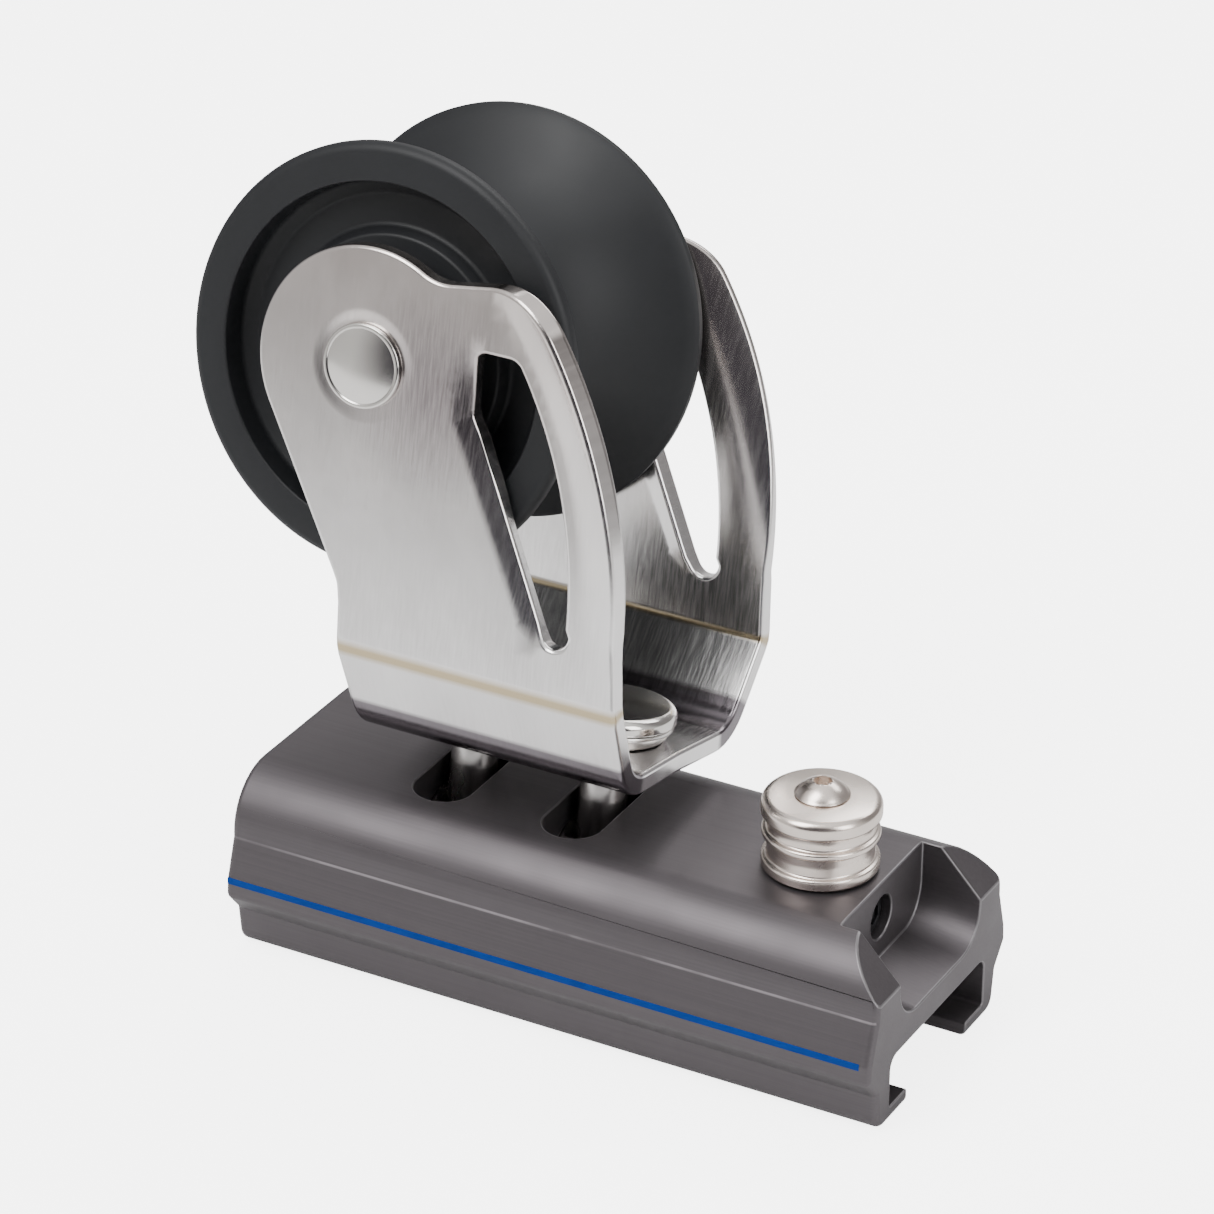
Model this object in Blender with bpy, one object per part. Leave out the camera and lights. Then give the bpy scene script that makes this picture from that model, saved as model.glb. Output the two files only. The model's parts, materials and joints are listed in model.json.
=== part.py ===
"""Genoa sheet lead car for 25 mm T-track.

A slotted aluminium slider carries a stainless bail that tilts about a bar inside the slider.
A nylon-type roller spins in the bail on a riveted axle, and a sprung plunger stops the slider
on its track. X runs along the track with the plunger at +X, Z points up, and the origin is the
middle of the slot ceiling, the face that slides on top of the track.
"""

import math

import bmesh
import bpy
from mathutils import Matrix, Vector
from mathutils.geometry import delaunay_2d_cdt

MM = 0.001
FIT = 0.3

# Slider
BODY_LENGTH = 88.4
DECK_Z = 15.2
SHOULDER_RADIUS = 7.7
PANEL_TOP = (17.3, 7.1)
PANEL_FOOT = (18.95, 1.9)
WIDEST = (19.15, -0.4)
SKIRT_TOP = (16.7, -3.25)
SKIRT_FOOT = (16.0, -8.6)
SLOT_HALF = 13.0
LIP_TOP_Z = -6.7
LIP_TIP_HALF = 8.2
STRIPE_Z = (1.3, 2.15)
STRIPE_FLOOR = 18.7
STRIPE_END_X = 42.8

# Recess at the plunger end
RECESS_WALL_X = 36.2
RECESS_HALF = 11.0
RECESS_FLOOR_Z = 5.0
RECESS_FALL = 1.35
RECESS_FILLET = 4.8
CHEEK_CHAMFER_X = 38.5
CHEEK_END_Z = 9.15

# Swivel bar, its posts and the deck slots they swing in
PIVOT_Z = 6.6
BAR_RADIUS = 4.3
BAR_ENDS = (-31.0, 9.0)
BORE_RADIUS = BAR_RADIUS + FIT
POST_X = (-20.5, -2.5)
POST_RADIUS = 3.0
STUD_RADIUS = 2.4
DECK_SLOT_HALF = (3.8, 9.6)
DECK_SLOT_FLOOR_Z = 5.0
REST_TILT = math.radians(11.4)

# Bail, in its own upright frame
SHEET = 2.6
AXLE_X = -29.8
AXLE_Z = 67.95
CHEEK_MID = 19.6
BASE_MID_Z = 22.1
BASE_CORNER = (13.3, 6.0)
FOLD_Z = 33.2
FOLD_RADIUS = 4.0
LOBE_RADIUS = 14.4
EDGE_CENTRE = (AXLE_X - 24.2, AXLE_Z - 26.3)
EDGE_RADIUS = 61.0
EDGE_CORNER_RADIUS = 10.0
NECK_RADIUS = 6.0
TOP_EDGE_POINT = (AXLE_X + 11.2, AXLE_Z + 12.2)
TOP_EDGE_SLOPE = math.radians(8.9)
BACK_EDGE_SLOPE = math.radians(29.8)
BACK_KNEE_Z = AXLE_Z - 27.2
BACK_FOLD_X = AXLE_X - 0.3
BACK_BASE_X = AXLE_X + 0.7
FRONT_BASE_X = 7.2
FRONT_FOLD_X = 7.9
BASE_EDGE_RADIUS = 2.5
WINDOW_EDGE_RADIUS = 54.2
WINDOW_BACK_X = AXLE_X + 14.8
WINDOW_KNEE_Z = AXLE_Z - 3.0
WINDOW_TOP_Z = AXLE_Z + 4.8
WINDOW_FOOT = (AXLE_X + 28.7, AXLE_Z - 26.6, 1.8)
WINDOW_CORNER_RADIUS = 2.0
FLARE = 2.1
FLARE_WIDTH = 5.4
FLARE_Z = (31.0, 72.0)

# Roller and axle
ROLLER_RADIUS = 26.0
RIM_HALF = 17.2
GROOVE_HALF = 15.0
CORE_RADIUS = 13.0
RING_RADIUS = 21.3
RECESS_DEPTH_HALF = 12.8
HUB_RADIUS = 9.0
HUB_HALF = 16.2
AXLE_RADIUS = 4.0
AXLE_HEAD_RADIUS = 5.15
BUSH_RADIUS = 5.2

# Plunger
PLUNGER_X = 27.9
KNOB_BASE_Z = 15.5
KNOB_TOP_Z = 24.9
KNOB_RADIUS = 7.3
KNOB_WAIST = 6.55
PIN_RADIUS = 2.5
PIN_FOOT_RADIUS = 3.9
PIN_FOOT_Z = -5.4
PIN_SHOULDER_Z = 3.8
SLEEVE_RADIUS = 6.0
SLEEVE_BORE = 4.3
SLEEVE_CAP_Z = (12.0, 15.0)
SPRING_WIRE = 0.45
SPRING_RADIUS = 3.45
SPRING_TURNS = 6
GRUB_Z = 10.3
GRUB_RADIUS = 2.8


# ---------------------------------------------------------------- outlines

def arc(centre, radius, start, end, steps):
    """Points on an arc, angles in degrees."""
    angles = [math.radians(start + (end - start) * i / steps) for i in range(steps + 1)]
    return [(centre[0] + radius * math.cos(a), centre[1] + radius * math.sin(a)) for a in angles]


def rounded(corners, steps=6):
    """Closed outline from (x, y, radius) corners, each one rounded by its own radius."""
    outline = []
    for i, (x, y, radius) in enumerate(corners):
        here = Vector((x, y))
        if radius == 0:
            outline.append((x, y))
            continue
        before = (Vector(corners[i - 1][:2]) - here).normalized()
        after = (Vector(corners[(i + 1) % len(corners)][:2]) - here).normalized()
        half = before.angle(after) / 2
        centre = here + (before + after).normalized() * (radius / math.sin(half))
        first = here + before * (radius / math.tan(half)) - centre
        last = here + after * (radius / math.tan(half)) - centre
        turn = first.angle_signed(last)
        for k in range(steps + 1):
            spoke = first.copy()
            spoke.rotate(Matrix.Rotation(-turn * k / steps, 2))
            outline.append(tuple(centre + spoke))
    return outline


def line_circle(point, direction, centre, radius, side):
    """Where a line meets a circle, on the forward (+1) or the backward (-1) side."""
    offset = point - centre
    along = offset.dot(direction)
    reach = math.sqrt(radius ** 2 - offset.length_squared + along ** 2)
    return point + direction * (side * reach - along)


def bearing(centre, point):
    """Direction from centre to point, in degrees."""
    return math.degrees(math.atan2(point[1] - centre[1], point[0] - centre[0]))


# ---------------------------------------------------------------- mesh helpers

def material(name, colour, roughness, metallic):
    """Principled material with one colour."""
    mat = bpy.data.materials.new(name)
    mat.use_nodes = True
    shader = mat.node_tree.nodes["Principled BSDF"]
    shader.inputs["Base Color"].default_value = (*colour, 1.0)
    shader.inputs["Roughness"].default_value = roughness
    shader.inputs["Metallic"].default_value = metallic
    mat.diffuse_color = (*colour, 1.0)
    return mat


def finish(name, bm, mat, parent=None):
    """Turn a millimetre bmesh into a named object in metres."""
    bmesh.ops.recalc_face_normals(bm, faces=bm.faces)
    bmesh.ops.scale(bm, vec=(MM, MM, MM), verts=bm.verts)
    mesh = bpy.data.meshes.new(name)
    bm.to_mesh(mesh)
    bm.free()
    obj = bpy.data.objects.new(name, mesh)
    bpy.context.collection.objects.link(obj)
    obj.parent = parent
    if mat is not None:
        mesh.materials.append(mat)
    mesh.shade_smooth()
    mesh.set_sharp_from_angle(angle=math.radians(35))
    return obj


def prism(outline, low, high, axis):
    """Outline extruded along an axis: XZ outlines along Y, YZ along X, XY along Z."""
    place = {
        "X": lambda a, b, c: (c, a, b),
        "Y": lambda a, b, c: (a, c, b),
        "Z": lambda a, b, c: (a, b, c),
    }[axis]
    bm = bmesh.new()
    rings = [[bm.verts.new(place(a, b, c)) for a, b in outline] for c in (low, high)]
    count = len(outline)
    for i in range(count):
        j = (i + 1) % count
        bm.faces.new((rings[0][i], rings[0][j], rings[1][j], rings[1][i]))
    bm.faces.new(rings[0])
    bm.faces.new(rings[1])
    return bm


def lathe(profile, segments=32):
    """Closed (radius, height) profile turned about Z; points at radius 0 become poles."""
    bm = bmesh.new()
    rings = []
    for radius, height in profile:
        if radius == 0:
            rings.append([bm.verts.new((0, 0, height))] * segments)
            continue
        angles = [2 * math.pi * i / segments for i in range(segments)]
        rings.append([bm.verts.new((radius * math.cos(a), radius * math.sin(a), height)) for a in angles])
    for k, ring in enumerate(rings):
        after = rings[(k + 1) % len(rings)]
        for i in range(segments):
            j = (i + 1) % segments
            corners = list(dict.fromkeys((ring[i], ring[j], after[j], after[i])))
            if len(corners) > 2:
                bm.faces.new(corners)
    return bm


def moved(bm, matrix):
    """The same bmesh after a transform."""
    bmesh.ops.transform(bm, matrix=matrix, verts=bm.verts)
    return bm


def along_x(bm, low):
    """Stand a Z-lathed shape along +X from low."""
    return moved(bm, Matrix.Translation((low, 0, 0)) @ Matrix.Rotation(math.radians(90), 4, "Y"))


def along_y(bm):
    """Lay a Z-lathed shape along Y."""
    return moved(bm, Matrix.Rotation(math.radians(-90), 4, "X"))


def cut(target, name, bm):
    """Take a hidden cutter away from an object."""
    cutter = finish(name, bm, None, target.parent)
    cutter.hide_render = True
    cutter.display_type = "WIRE"
    boolean = target.modifiers.new(name, "BOOLEAN")
    boolean.operation = "DIFFERENCE"
    boolean.solver = "EXACT"
    boolean.object = cutter


def rod(radius, low, high, bevel=0.3):
    """Profile of a plain rod with small end chamfers."""
    return [(0, low), (radius - bevel, low), (radius, low + bevel),
            (radius, high - bevel), (radius - bevel, high), (0, high)]


def tube(inner, outer, low, high):
    """Profile of a plain tube."""
    return [(inner, low), (outer, low), (outer, high), (inner, high)]


# ---------------------------------------------------------------- slider

def mirrored(points):
    """A right-hand half outline, bottom to top, closed by its mirror image."""
    return points + [(-y, z, r) for y, z, r in reversed(points)]


def body_section():
    """Slider section across the track, T-slot included."""
    right = [
        (LIP_TIP_HALF, LIP_TOP_Z, 0),
        (LIP_TIP_HALF, SKIRT_FOOT[1], 0.6),
        (*SKIRT_FOOT, 2.0),
        (*SKIRT_TOP, 0.5),
        (*WIDEST, 1.2),
        (*PANEL_FOOT, 0),
        (*PANEL_TOP, 0.5),
        (PANEL_TOP[0], DECK_Z, SHOULDER_RADIUS),
    ]
    slot = [
        (-SLOT_HALF, LIP_TOP_Z, 0.5),
        (-SLOT_HALF, 0, 1.6),
        (SLOT_HALF, 0, 1.6),
        (SLOT_HALF, LIP_TOP_Z, 0.5),
    ]
    whole = mirrored(right)
    return rounded(whole + slot, 5)


def deck_slot(x):
    """One cross slot for a post: straight sides, round ends."""
    half, reach = DECK_SLOT_HALF
    outline = arc((x, reach - half), half, 0, 180, 12) + arc((x, half - reach), half, 180, 360, 12)
    return prism(outline, DECK_SLOT_FLOOR_Z, DECK_Z + 5, "Z")


def recess():
    """Space milled out between the two end cheeks; its floor falls towards the end."""
    outline = rounded([
        (-RECESS_HALF, RECESS_FLOOR_Z, RECESS_FILLET),
        (RECESS_HALF, RECESS_FLOOR_Z, RECESS_FILLET),
        (RECESS_HALF, DECK_Z + 5, 0),
        (-RECESS_HALF, DECK_Z + 5, 0),
    ], 8)
    end = BODY_LENGTH / 2 + 3
    space = prism(outline, RECESS_WALL_X, end, "X")
    fall = RECESS_FALL * (end - RECESS_WALL_X) / (BODY_LENGTH / 2 - RECESS_WALL_X)
    for vert in space.verts:
        if vert.co.x == end:
            vert.co.z -= fall
    return space


def cheek_chamfer():
    """Wedge that slopes the tops of the end cheeks."""
    end = BODY_LENGTH / 2
    slope = (DECK_Z - CHEEK_END_Z) / (end - CHEEK_CHAMFER_X)
    outline = [
        (CHEEK_CHAMFER_X - 3, DECK_Z + 3 * slope),
        (end + 3, CHEEK_END_Z - 3 * slope),
        (end + 3, DECK_Z + 3 * slope),
    ]
    return prism(outline, -30, 30, "Y")


def stripe_groove(side):
    """Shallow groove for the painted line along a side panel."""
    low, high = STRIPE_Z
    outline = [(side * STRIPE_FLOOR, low), (side * 21, low), (side * 21, high), (side * STRIPE_FLOOR, high)]
    return prism(outline, -BODY_LENGTH, STRIPE_END_X, "X")


def car_body(mat):
    """Extruded slider with everything milled into it."""
    half = BODY_LENGTH / 2
    body = finish("car_body", prism(body_section(), -half, half, "X"), mat)
    for i, x in enumerate(POST_X):
        cut(body, f"cut_deck_slot_{i + 1}", deck_slot(x))
    bore_length = half + BAR_ENDS[1] + 1
    bore = along_x(lathe(rod(BORE_RADIUS, -3, bore_length, 0.2), 32), -half)
    cut(body, "cut_bar_bore", moved(bore, Matrix.Translation((0, 0, PIVOT_Z))))
    cut(body, "cut_recess", recess())
    cut(body, "cut_cheek_chamfer", cheek_chamfer())
    sleeve_hole = lathe(rod(SLEEVE_RADIUS + FIT, 1.2, DECK_Z + 5, 0.1), 32)
    cut(body, "cut_sleeve_hole", moved(sleeve_hole, Matrix.Translation((PLUNGER_X, 0, 0))))
    pin_hole = lathe(rod(PIN_FOOT_RADIUS + FIT, -3, 4, 0.1), 32)
    cut(body, "cut_pin_hole", moved(pin_hole, Matrix.Translation((PLUNGER_X, 0, 0))))
    grub_hole = along_x(lathe(rod(GRUB_RADIUS, 0, 14, 0.1), 24), PLUNGER_X + 4)
    cut(body, "cut_grub_hole", moved(grub_hole, Matrix.Translation((0, 0, GRUB_Z))))
    for side in (-1, 1):
        cut(body, f"cut_stripe_groove_{side + 1}", stripe_groove(side))
    return body


def bar_plug(mat):
    """Screwed plug that closes the bar's bore at the -X end."""
    low = -BODY_LENGTH / 2 + 0.8
    radius = BORE_RADIUS - FIT
    profile = [(0, 2.0), (1.6, 2.0), (1.6, 0), (radius - 0.3, 0), (radius, 0.3),
               (radius, 7.7), (radius - 0.3, 8.0), (0, 8.0)]
    plug = moved(along_x(lathe(profile, 24), low), Matrix.Translation((0, 0, PIVOT_Z)))
    return finish("bar_plug", plug, mat)


def grub_screw(mat):
    """Socket screw in the recess wall that locks the plunger sleeve."""
    low = PLUNGER_X + SLEEVE_RADIUS + FIT
    radius = GRUB_RADIUS - FIT
    profile = [(0, 0), (radius - 0.3, 0), (radius, 0.3), (radius, 1.0),
               (1.2, 1.0), (1.2, 0.5), (0, 0.5)]
    screw = moved(along_x(lathe(profile, 24), low), Matrix.Translation((0, 0, GRUB_Z)))
    return finish("sleeve_grub_screw", screw, mat)


def plunger_sleeve(mat):
    """Guide sleeve pressed into the deck: narrow foot hole, wide spring bore."""
    foot_bore = PIN_FOOT_RADIUS + FIT
    profile = [(foot_bore, 1.5), (SLEEVE_RADIUS, 1.5), (SLEEVE_RADIUS, SLEEVE_CAP_Z[0] - FIT),
               (SLEEVE_BORE, SLEEVE_CAP_Z[0] - FIT), (SLEEVE_BORE, 3.0), (foot_bore, 3.0)]
    sleeve = moved(lathe(profile, 24), Matrix.Translation((PLUNGER_X, 0, 0)))
    return finish("plunger_sleeve", sleeve, mat)


def sleeve_cap(mat):
    """Threaded ring on top of the sleeve that the spring pushes against."""
    profile = tube(PIN_RADIUS + FIT, SLEEVE_RADIUS, *SLEEVE_CAP_Z)
    cap = moved(lathe(profile, 24), Matrix.Translation((PLUNGER_X, 0, 0)))
    return finish("sleeve_cap", cap, mat)


# ---------------------------------------------------------------- plunger

def knob_profile():
    """Pull knob: a thin foot ring, a thin middle ring and a broad crown, bored for its screw."""
    base, top, outer = KNOB_BASE_Z, KNOB_TOP_Z, KNOB_RADIUS
    ring = outer - 0.15
    side = [(ring - 0.3, base, 0), (ring, base, 0.3), (ring, base + 1.3, 0.3), (KNOB_WAIST, base + 1.6, 0.3),
            (KNOB_WAIST, base + 3.9, 0.3), (ring, base + 4.2, 0.3), (ring, base + 4.9, 0.3),
            (KNOB_WAIST, base + 5.2, 0.3), (KNOB_WAIST, base + 6.6, 0.3), (outer, base + 6.9, 0.4),
            (outer, top, 1.0)]
    hole = PIN_RADIUS + FIT
    bore = [(1.8, top, 0), (1.8, top - 1.6, 0), (hole, top - 1.6, 0), (hole, base, 0)]
    return rounded(side + bore, 3)


def plunger_knob(mat, parent):
    """Pull knob over the pin."""
    return finish("plunger_knob", lathe(knob_profile(), 28), mat, parent)


def knob_screw(mat, parent):
    """Button-head socket screw that holds the knob on the pin."""
    under = KNOB_TOP_Z + 0.05
    dome = arc((0, under - 1.2), 3.5, 20, 64, 5)
    profile = [(0, KNOB_TOP_Z - 3.6), (1.4, KNOB_TOP_Z - 3.6), (1.4, under), (3.35, under), *dome]
    profile += [(1.35, profile[-1][1]), (1.25, under + 0.5), (0, under + 0.5)]
    return finish("knob_screw", lathe(profile, 24), mat, parent)


def plunger_pin(mat, parent):
    """Stop pin: thick foot that drops into the track's holes, thin stem up to the knob."""
    top = KNOB_TOP_Z - 1.6 - FIT
    shoulder = PIN_SHOULDER_Z
    profile = [(0, PIN_FOOT_Z), (PIN_FOOT_RADIUS - 0.8, PIN_FOOT_Z), (PIN_FOOT_RADIUS, PIN_FOOT_Z + 0.8),
               (PIN_FOOT_RADIUS, shoulder), (PIN_RADIUS, shoulder), (PIN_RADIUS, top),
               (1.7, top), (1.7, top - 2.4), (0, top - 2.4)]
    return finish("plunger_pin", lathe(profile, 24), mat, parent)


def plunger_spring(mat, parent):
    """Closed-end coil between the pin's shoulder and the sleeve's cap."""
    low = PIN_SHOULDER_Z + FIT + SPRING_WIRE
    high = SLEEVE_CAP_Z[0] - FIT - SPRING_WIRE
    steps, sides = 12 * SPRING_TURNS, 5
    bm = bmesh.new()
    rings = []
    for i in range(steps + 1):
        t = i / steps
        angle = 2 * math.pi * SPRING_TURNS * t
        spoke = Vector((math.cos(angle), math.sin(angle), 0))
        middle = spoke * SPRING_RADIUS + Vector((0, 0, low + (high - low) * t))
        ring = []
        for k in range(sides):
            around = 2 * math.pi * k / sides
            rim = spoke * math.cos(around) + Vector((0, 0, math.sin(around)))
            ring.append(bm.verts.new(middle + rim * SPRING_WIRE))
        rings.append(ring)
    for first, last in zip(rings, rings[1:]):
        for k in range(sides):
            n = (k + 1) % sides
            bm.faces.new((first[k], first[n], last[n], last[k]))
    bm.faces.new(rings[0])
    bm.faces.new(rings[-1])
    return finish("plunger_spring", bm, mat, parent)


# ---------------------------------------------------------------- bail

def strap_path():
    """Half of the strap's middle line as (start length, start point, heading, curvature)."""
    taper = math.atan2(FOLD_Z - BASE_MID_Z, CHEEK_MID - BASE_CORNER[0])
    base_radius = BASE_CORNER[1]
    base_flat = BASE_CORNER[0] - base_radius * math.tan(taper / 2)
    lean = math.radians(90) - taper
    slant = math.hypot(FOLD_Z - BASE_MID_Z, CHEEK_MID - BASE_CORNER[0])
    slant -= base_radius * math.tan(taper / 2) + FOLD_RADIUS * math.tan(lean / 2)
    steps = [(base_flat, 0), (base_radius * taper, 1 / base_radius), (slant, 0),
             (FOLD_RADIUS * lean, 1 / FOLD_RADIUS), (100.0, 0)]
    path = []
    length, point, heading = 0.0, Vector((0.0, BASE_MID_Z)), 0.0
    for run, curvature in steps:
        path.append((length, point.copy(), heading, curvature))
        point = walk(point, heading, curvature, run)
        heading += curvature * run
        length += run
    return path


def walk(point, heading, curvature, run):
    """Point reached after a run along a line or an arc."""
    if curvature == 0:
        return point + Vector((math.cos(heading), math.sin(heading))) * run
    turned = heading + curvature * run
    shift = Vector((math.sin(turned) - math.sin(heading), math.cos(heading) - math.cos(turned)))
    return point + shift / curvature


PATH = strap_path()
CHEEK_START = PATH[-1][0]
CHEEK_START_Z = PATH[-1][1][1]


def flat_s(z):
    """Length along the strap of a height z on the straight cheek."""
    return CHEEK_START + z - CHEEK_START_Z


def flare(x, z):
    """Outward push of the flared front edge."""
    if z > EDGE_CENTRE[1]:
        inboard = EDGE_RADIUS - math.hypot(x - EDGE_CENTRE[0], z - EDGE_CENTRE[1])
    else:
        inboard = EDGE_CENTRE[0] + EDGE_RADIUS - x
    grow = min(max((z - FLARE_Z[0]) / (FLARE_Z[1] - FLARE_Z[0]), 0.0), 1.0)
    roll = max(1 - max(inboard, 0.0) / FLARE_WIDTH, 0.0)
    return FLARE * grow * grow * (3 - 2 * grow) * roll * roll


def strap_point(x, s):
    """Folded place of a point of the flat strap."""
    side = -1 if s < 0 else 1
    length = abs(s)
    start, origin, heading, curvature = [piece for piece in PATH if piece[0] <= length][-1]
    point = walk(origin, heading, curvature, length - start)
    push = flare(x, point[1]) if length > CHEEK_START - 1 else 0.0
    return Vector((x, side * (point[0] + push), point[1]))


def strap_normal(x, s):
    """Outward direction of the folded strap."""
    step = 0.05
    across = strap_point(x + step, s) - strap_point(x - step, s)
    along = strap_point(x, s + step) - strap_point(x, s - step)
    return along.cross(across).normalized()


def cheek_outline():
    """Flat outline of one half of the strap, from its front base point round to its back one."""
    axle = Vector((AXLE_X, AXLE_Z))
    edge = Vector(EDGE_CENTRE)
    top_point = Vector(TOP_EDGE_POINT)
    top_way = Vector((math.cos(TOP_EDGE_SLOPE), math.sin(TOP_EDGE_SLOPE)))
    top_up = Vector((-top_way[1], top_way[0]))
    corner = line_circle(top_point - top_up * EDGE_CORNER_RADIUS, top_way, edge,
                         EDGE_RADIUS - EDGE_CORNER_RADIUS, 1)
    neck = line_circle(top_point + top_up * NECK_RADIUS, top_way, axle, LOBE_RADIUS + NECK_RADIUS, 1)
    up = 90 + math.degrees(TOP_EDGE_SLOPE)
    points = arc(edge, EDGE_RADIUS, 0, bearing(edge, corner), 14)
    points += arc(corner, EDGE_CORNER_RADIUS, bearing(edge, corner), up, 8)
    lobe_start = bearing(axle, neck)
    points += arc(neck, NECK_RADIUS, up + 180, lobe_start + 180, 5)
    lobe_end = 180 + math.degrees(BACK_EDGE_SLOPE)
    points += arc(axle, LOBE_RADIUS, lobe_start, lobe_end, 20)
    tangent = Vector(points[-1])
    knee_x = tangent[0] + (tangent[1] - BACK_KNEE_Z) * math.tan(BACK_EDGE_SLOPE)
    points += spread(points[-1], (knee_x - 0.6, BACK_KNEE_Z + 1.4), 6)[1:]
    points += [(knee_x + 0.1, BACK_KNEE_Z - 0.4), (knee_x + 0.5, BACK_KNEE_Z - 2.4)]
    return [(x, flat_s(z)) for x, z in points]


def spread(first, last, steps):
    """Evenly spaced points on a straight line."""
    a, b = Vector(first), Vector(last)
    return [tuple(a.lerp(b, i / steps)) for i in range(steps + 1)]


def strap_outline():
    """Whole flat outline of the bail, both cheeks."""
    half = cheek_outline()
    fold_s = flat_s(FOLD_Z)
    front = spread((FRONT_BASE_X, 0), (FRONT_FOLD_X, fold_s), 12)[:-1]
    front += spread((FRONT_FOLD_X, fold_s), half[0], 5)[:-1]
    back = spread(half[-1], (BACK_FOLD_X, fold_s), 4)[1:]
    back += spread((BACK_FOLD_X, fold_s), (BACK_BASE_X, 0), 12)[1:]
    upper = front + half + back
    lower = [(x, -s) for x, s in reversed(upper[1:-1])]
    return upper + lower


def window_outline():
    """Long window of a cheek, concentric with the front edge."""
    edge = Vector(EDGE_CENTRE)
    radius = WINDOW_EDGE_RADIUS
    foot_x, foot_z, foot_radius = WINDOW_FOOT
    foot_way = Vector((foot_x - WINDOW_BACK_X, foot_z - WINDOW_KNEE_Z)).normalized()
    left = math.degrees(math.atan2(-foot_way[0], foot_way[1])) + 360
    corner_radius = WINDOW_CORNER_RADIUS
    level = Vector((WINDOW_BACK_X, WINDOW_TOP_Z - corner_radius))
    top_corner = line_circle(level, Vector((1.0, 0.0)), edge, radius - corner_radius, 1)
    points = arc((foot_x, foot_z), foot_radius, left - 360, bearing(edge, (foot_x, foot_z)), 8)
    points += arc(edge, radius, bearing(edge, (foot_x, foot_z)) + 1, bearing(edge, top_corner), 9)
    points += arc(top_corner, corner_radius, bearing(edge, top_corner) + 15, 90, 3)
    points += arc((WINDOW_BACK_X + 1.2, WINDOW_TOP_Z - 1.2), 1.2, 90, 180, 3)
    points += [(WINDOW_BACK_X, WINDOW_KNEE_Z + 0.5)]
    points += spread((WINDOW_BACK_X + 0.3, WINDOW_KNEE_Z - 0.8),
                     Vector(points[0]) - foot_way * 3, 5)
    return [(x, flat_s(z)) for x, z in points]


def circle(x, s, radius, steps=20):
    """Round hole in the flat strap."""
    return arc((x, s), radius, 0, 360, steps)[:-1]


def inside(point, loop):
    """Whether a point lies within a closed outline."""
    x, y = point
    hit = False
    for (ax, ay), (bx, by) in zip(loop, loop[1:] + loop[:1]):
        if (ay > y) != (by > y) and x < ax + (y - ay) / (by - ay) * (bx - ax):
            hit = not hit
    return hit


def strap_seeds(loops):
    """Inner points of the flat strap: close together at bends and flares, clear of its edges."""
    rows = [0.0]
    for start, _, _, curvature in PATH[1:]:
        rows.append(start)
        if curvature:
            rows += [start + k * 1.2 for k in (1, 2, 3, 4) if k * 1.2 * curvature < 1.0]
    rows += [CHEEK_START + 2 + 3.4 * k for k in range(15)]
    seeds = []
    for s in sorted(set(rows + [-r for r in rows])):
        z = abs(s) - CHEEK_START + CHEEK_START_Z
        rise = z - EDGE_CENTRE[1]
        edge_x = EDGE_CENTRE[0] + math.sqrt(EDGE_RADIUS ** 2 - max(rise, 0) ** 2)
        columns = [edge_x - 1.4 * k - 1.2 for k in range(4)] if z > FLARE_Z[0] - 4 else []
        columns += [AXLE_X - 14 + 4.5 * k for k in range(9)]
        seeds += [(x, s) for x in columns]
    border = [Vector(p) for loop in loops for p in loop]
    return [p for p in seeds if inside(p, loops[0]) and not any(inside(p, hole) for hole in loops[1:])
            and min((Vector(p) - q).length for q in border) > 0.9]


def strap_loops():
    """Outline and every hole of the flat strap."""
    window = window_outline()
    axle_s = flat_s(AXLE_Z)
    holes = [window, [(x, -s) for x, s in reversed(window)]]
    holes += [circle(AXLE_X, side * axle_s, AXLE_RADIUS + FIT) for side in (1, -1)]
    holes += [circle(x, 0, STUD_RADIUS + FIT) for x in POST_X]
    return [strap_outline()] + holes


def bail(mat, parent):
    """Sheet strap cut flat with its holes, then folded, flared and given its thickness."""
    loops = strap_loops()
    points, edges = [], []
    for loop in loops:
        first = len(points)
        points += [Vector(p) for p in loop]
        edges += [(first + i, first + (i + 1) % len(loop)) for i in range(len(loop))]
    points += [Vector(p) for p in strap_seeds(loops)]
    verts, _, faces, *_ = delaunay_2d_cdt(points, edges, [], 0, 1e-5)
    kept = []
    for face in faces:
        middle = sum((verts[i] for i in face), Vector((0, 0))) / len(face)
        if inside(middle, loops[0]) and not any(inside(middle, hole) for hole in loops[1:]):
            kept.append(face)
    bm = bmesh.new()
    skins = []
    for offset in (SHEET / 2, -SHEET / 2):
        skins.append([bm.verts.new(strap_point(*v) + strap_normal(*v) * offset) for v in verts])
    rim = {}
    for face in kept:
        bm.faces.new([skins[0][i] for i in face])
        bm.faces.new([skins[1][i] for i in reversed(face)])
        for a, b in zip(face, face[1:] + face[:1]):
            if rim.pop((b, a), None) is None:
                rim[(a, b)] = True
    for a, b in rim:
        bm.faces.new((skins[0][b], skins[0][a], skins[1][a], skins[1][b]))
    bmesh.ops.delete(bm, geom=[v for v in bm.verts if not v.link_faces], context="VERTS")
    return finish("bail", bm, mat, parent)


def swivel_bar(mat, parent):
    """Bar that lies in the slider's bore and carries the posts; it sets the tilt axis."""
    shape = along_x(lathe(rod(BAR_RADIUS, 0, BAR_ENDS[1] - BAR_ENDS[0]), 32), BAR_ENDS[0])
    bar = finish("swivel_bar", shape, mat, parent)
    hole = STUD_RADIUS + FIT
    seat_z = BAR_RADIUS - 1.0
    profile = [(0, -1.5), (hole, -1.5), (hole, seat_z), (BAR_RADIUS, seat_z), (BAR_RADIUS, 8), (0, 8)]
    for i, x in enumerate(POST_X):
        cut(bar, f"cut_post_seat_{i + 1}", moved(lathe(profile, 24), Matrix.Translation((x, 0, 0))))
    return bar


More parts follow.
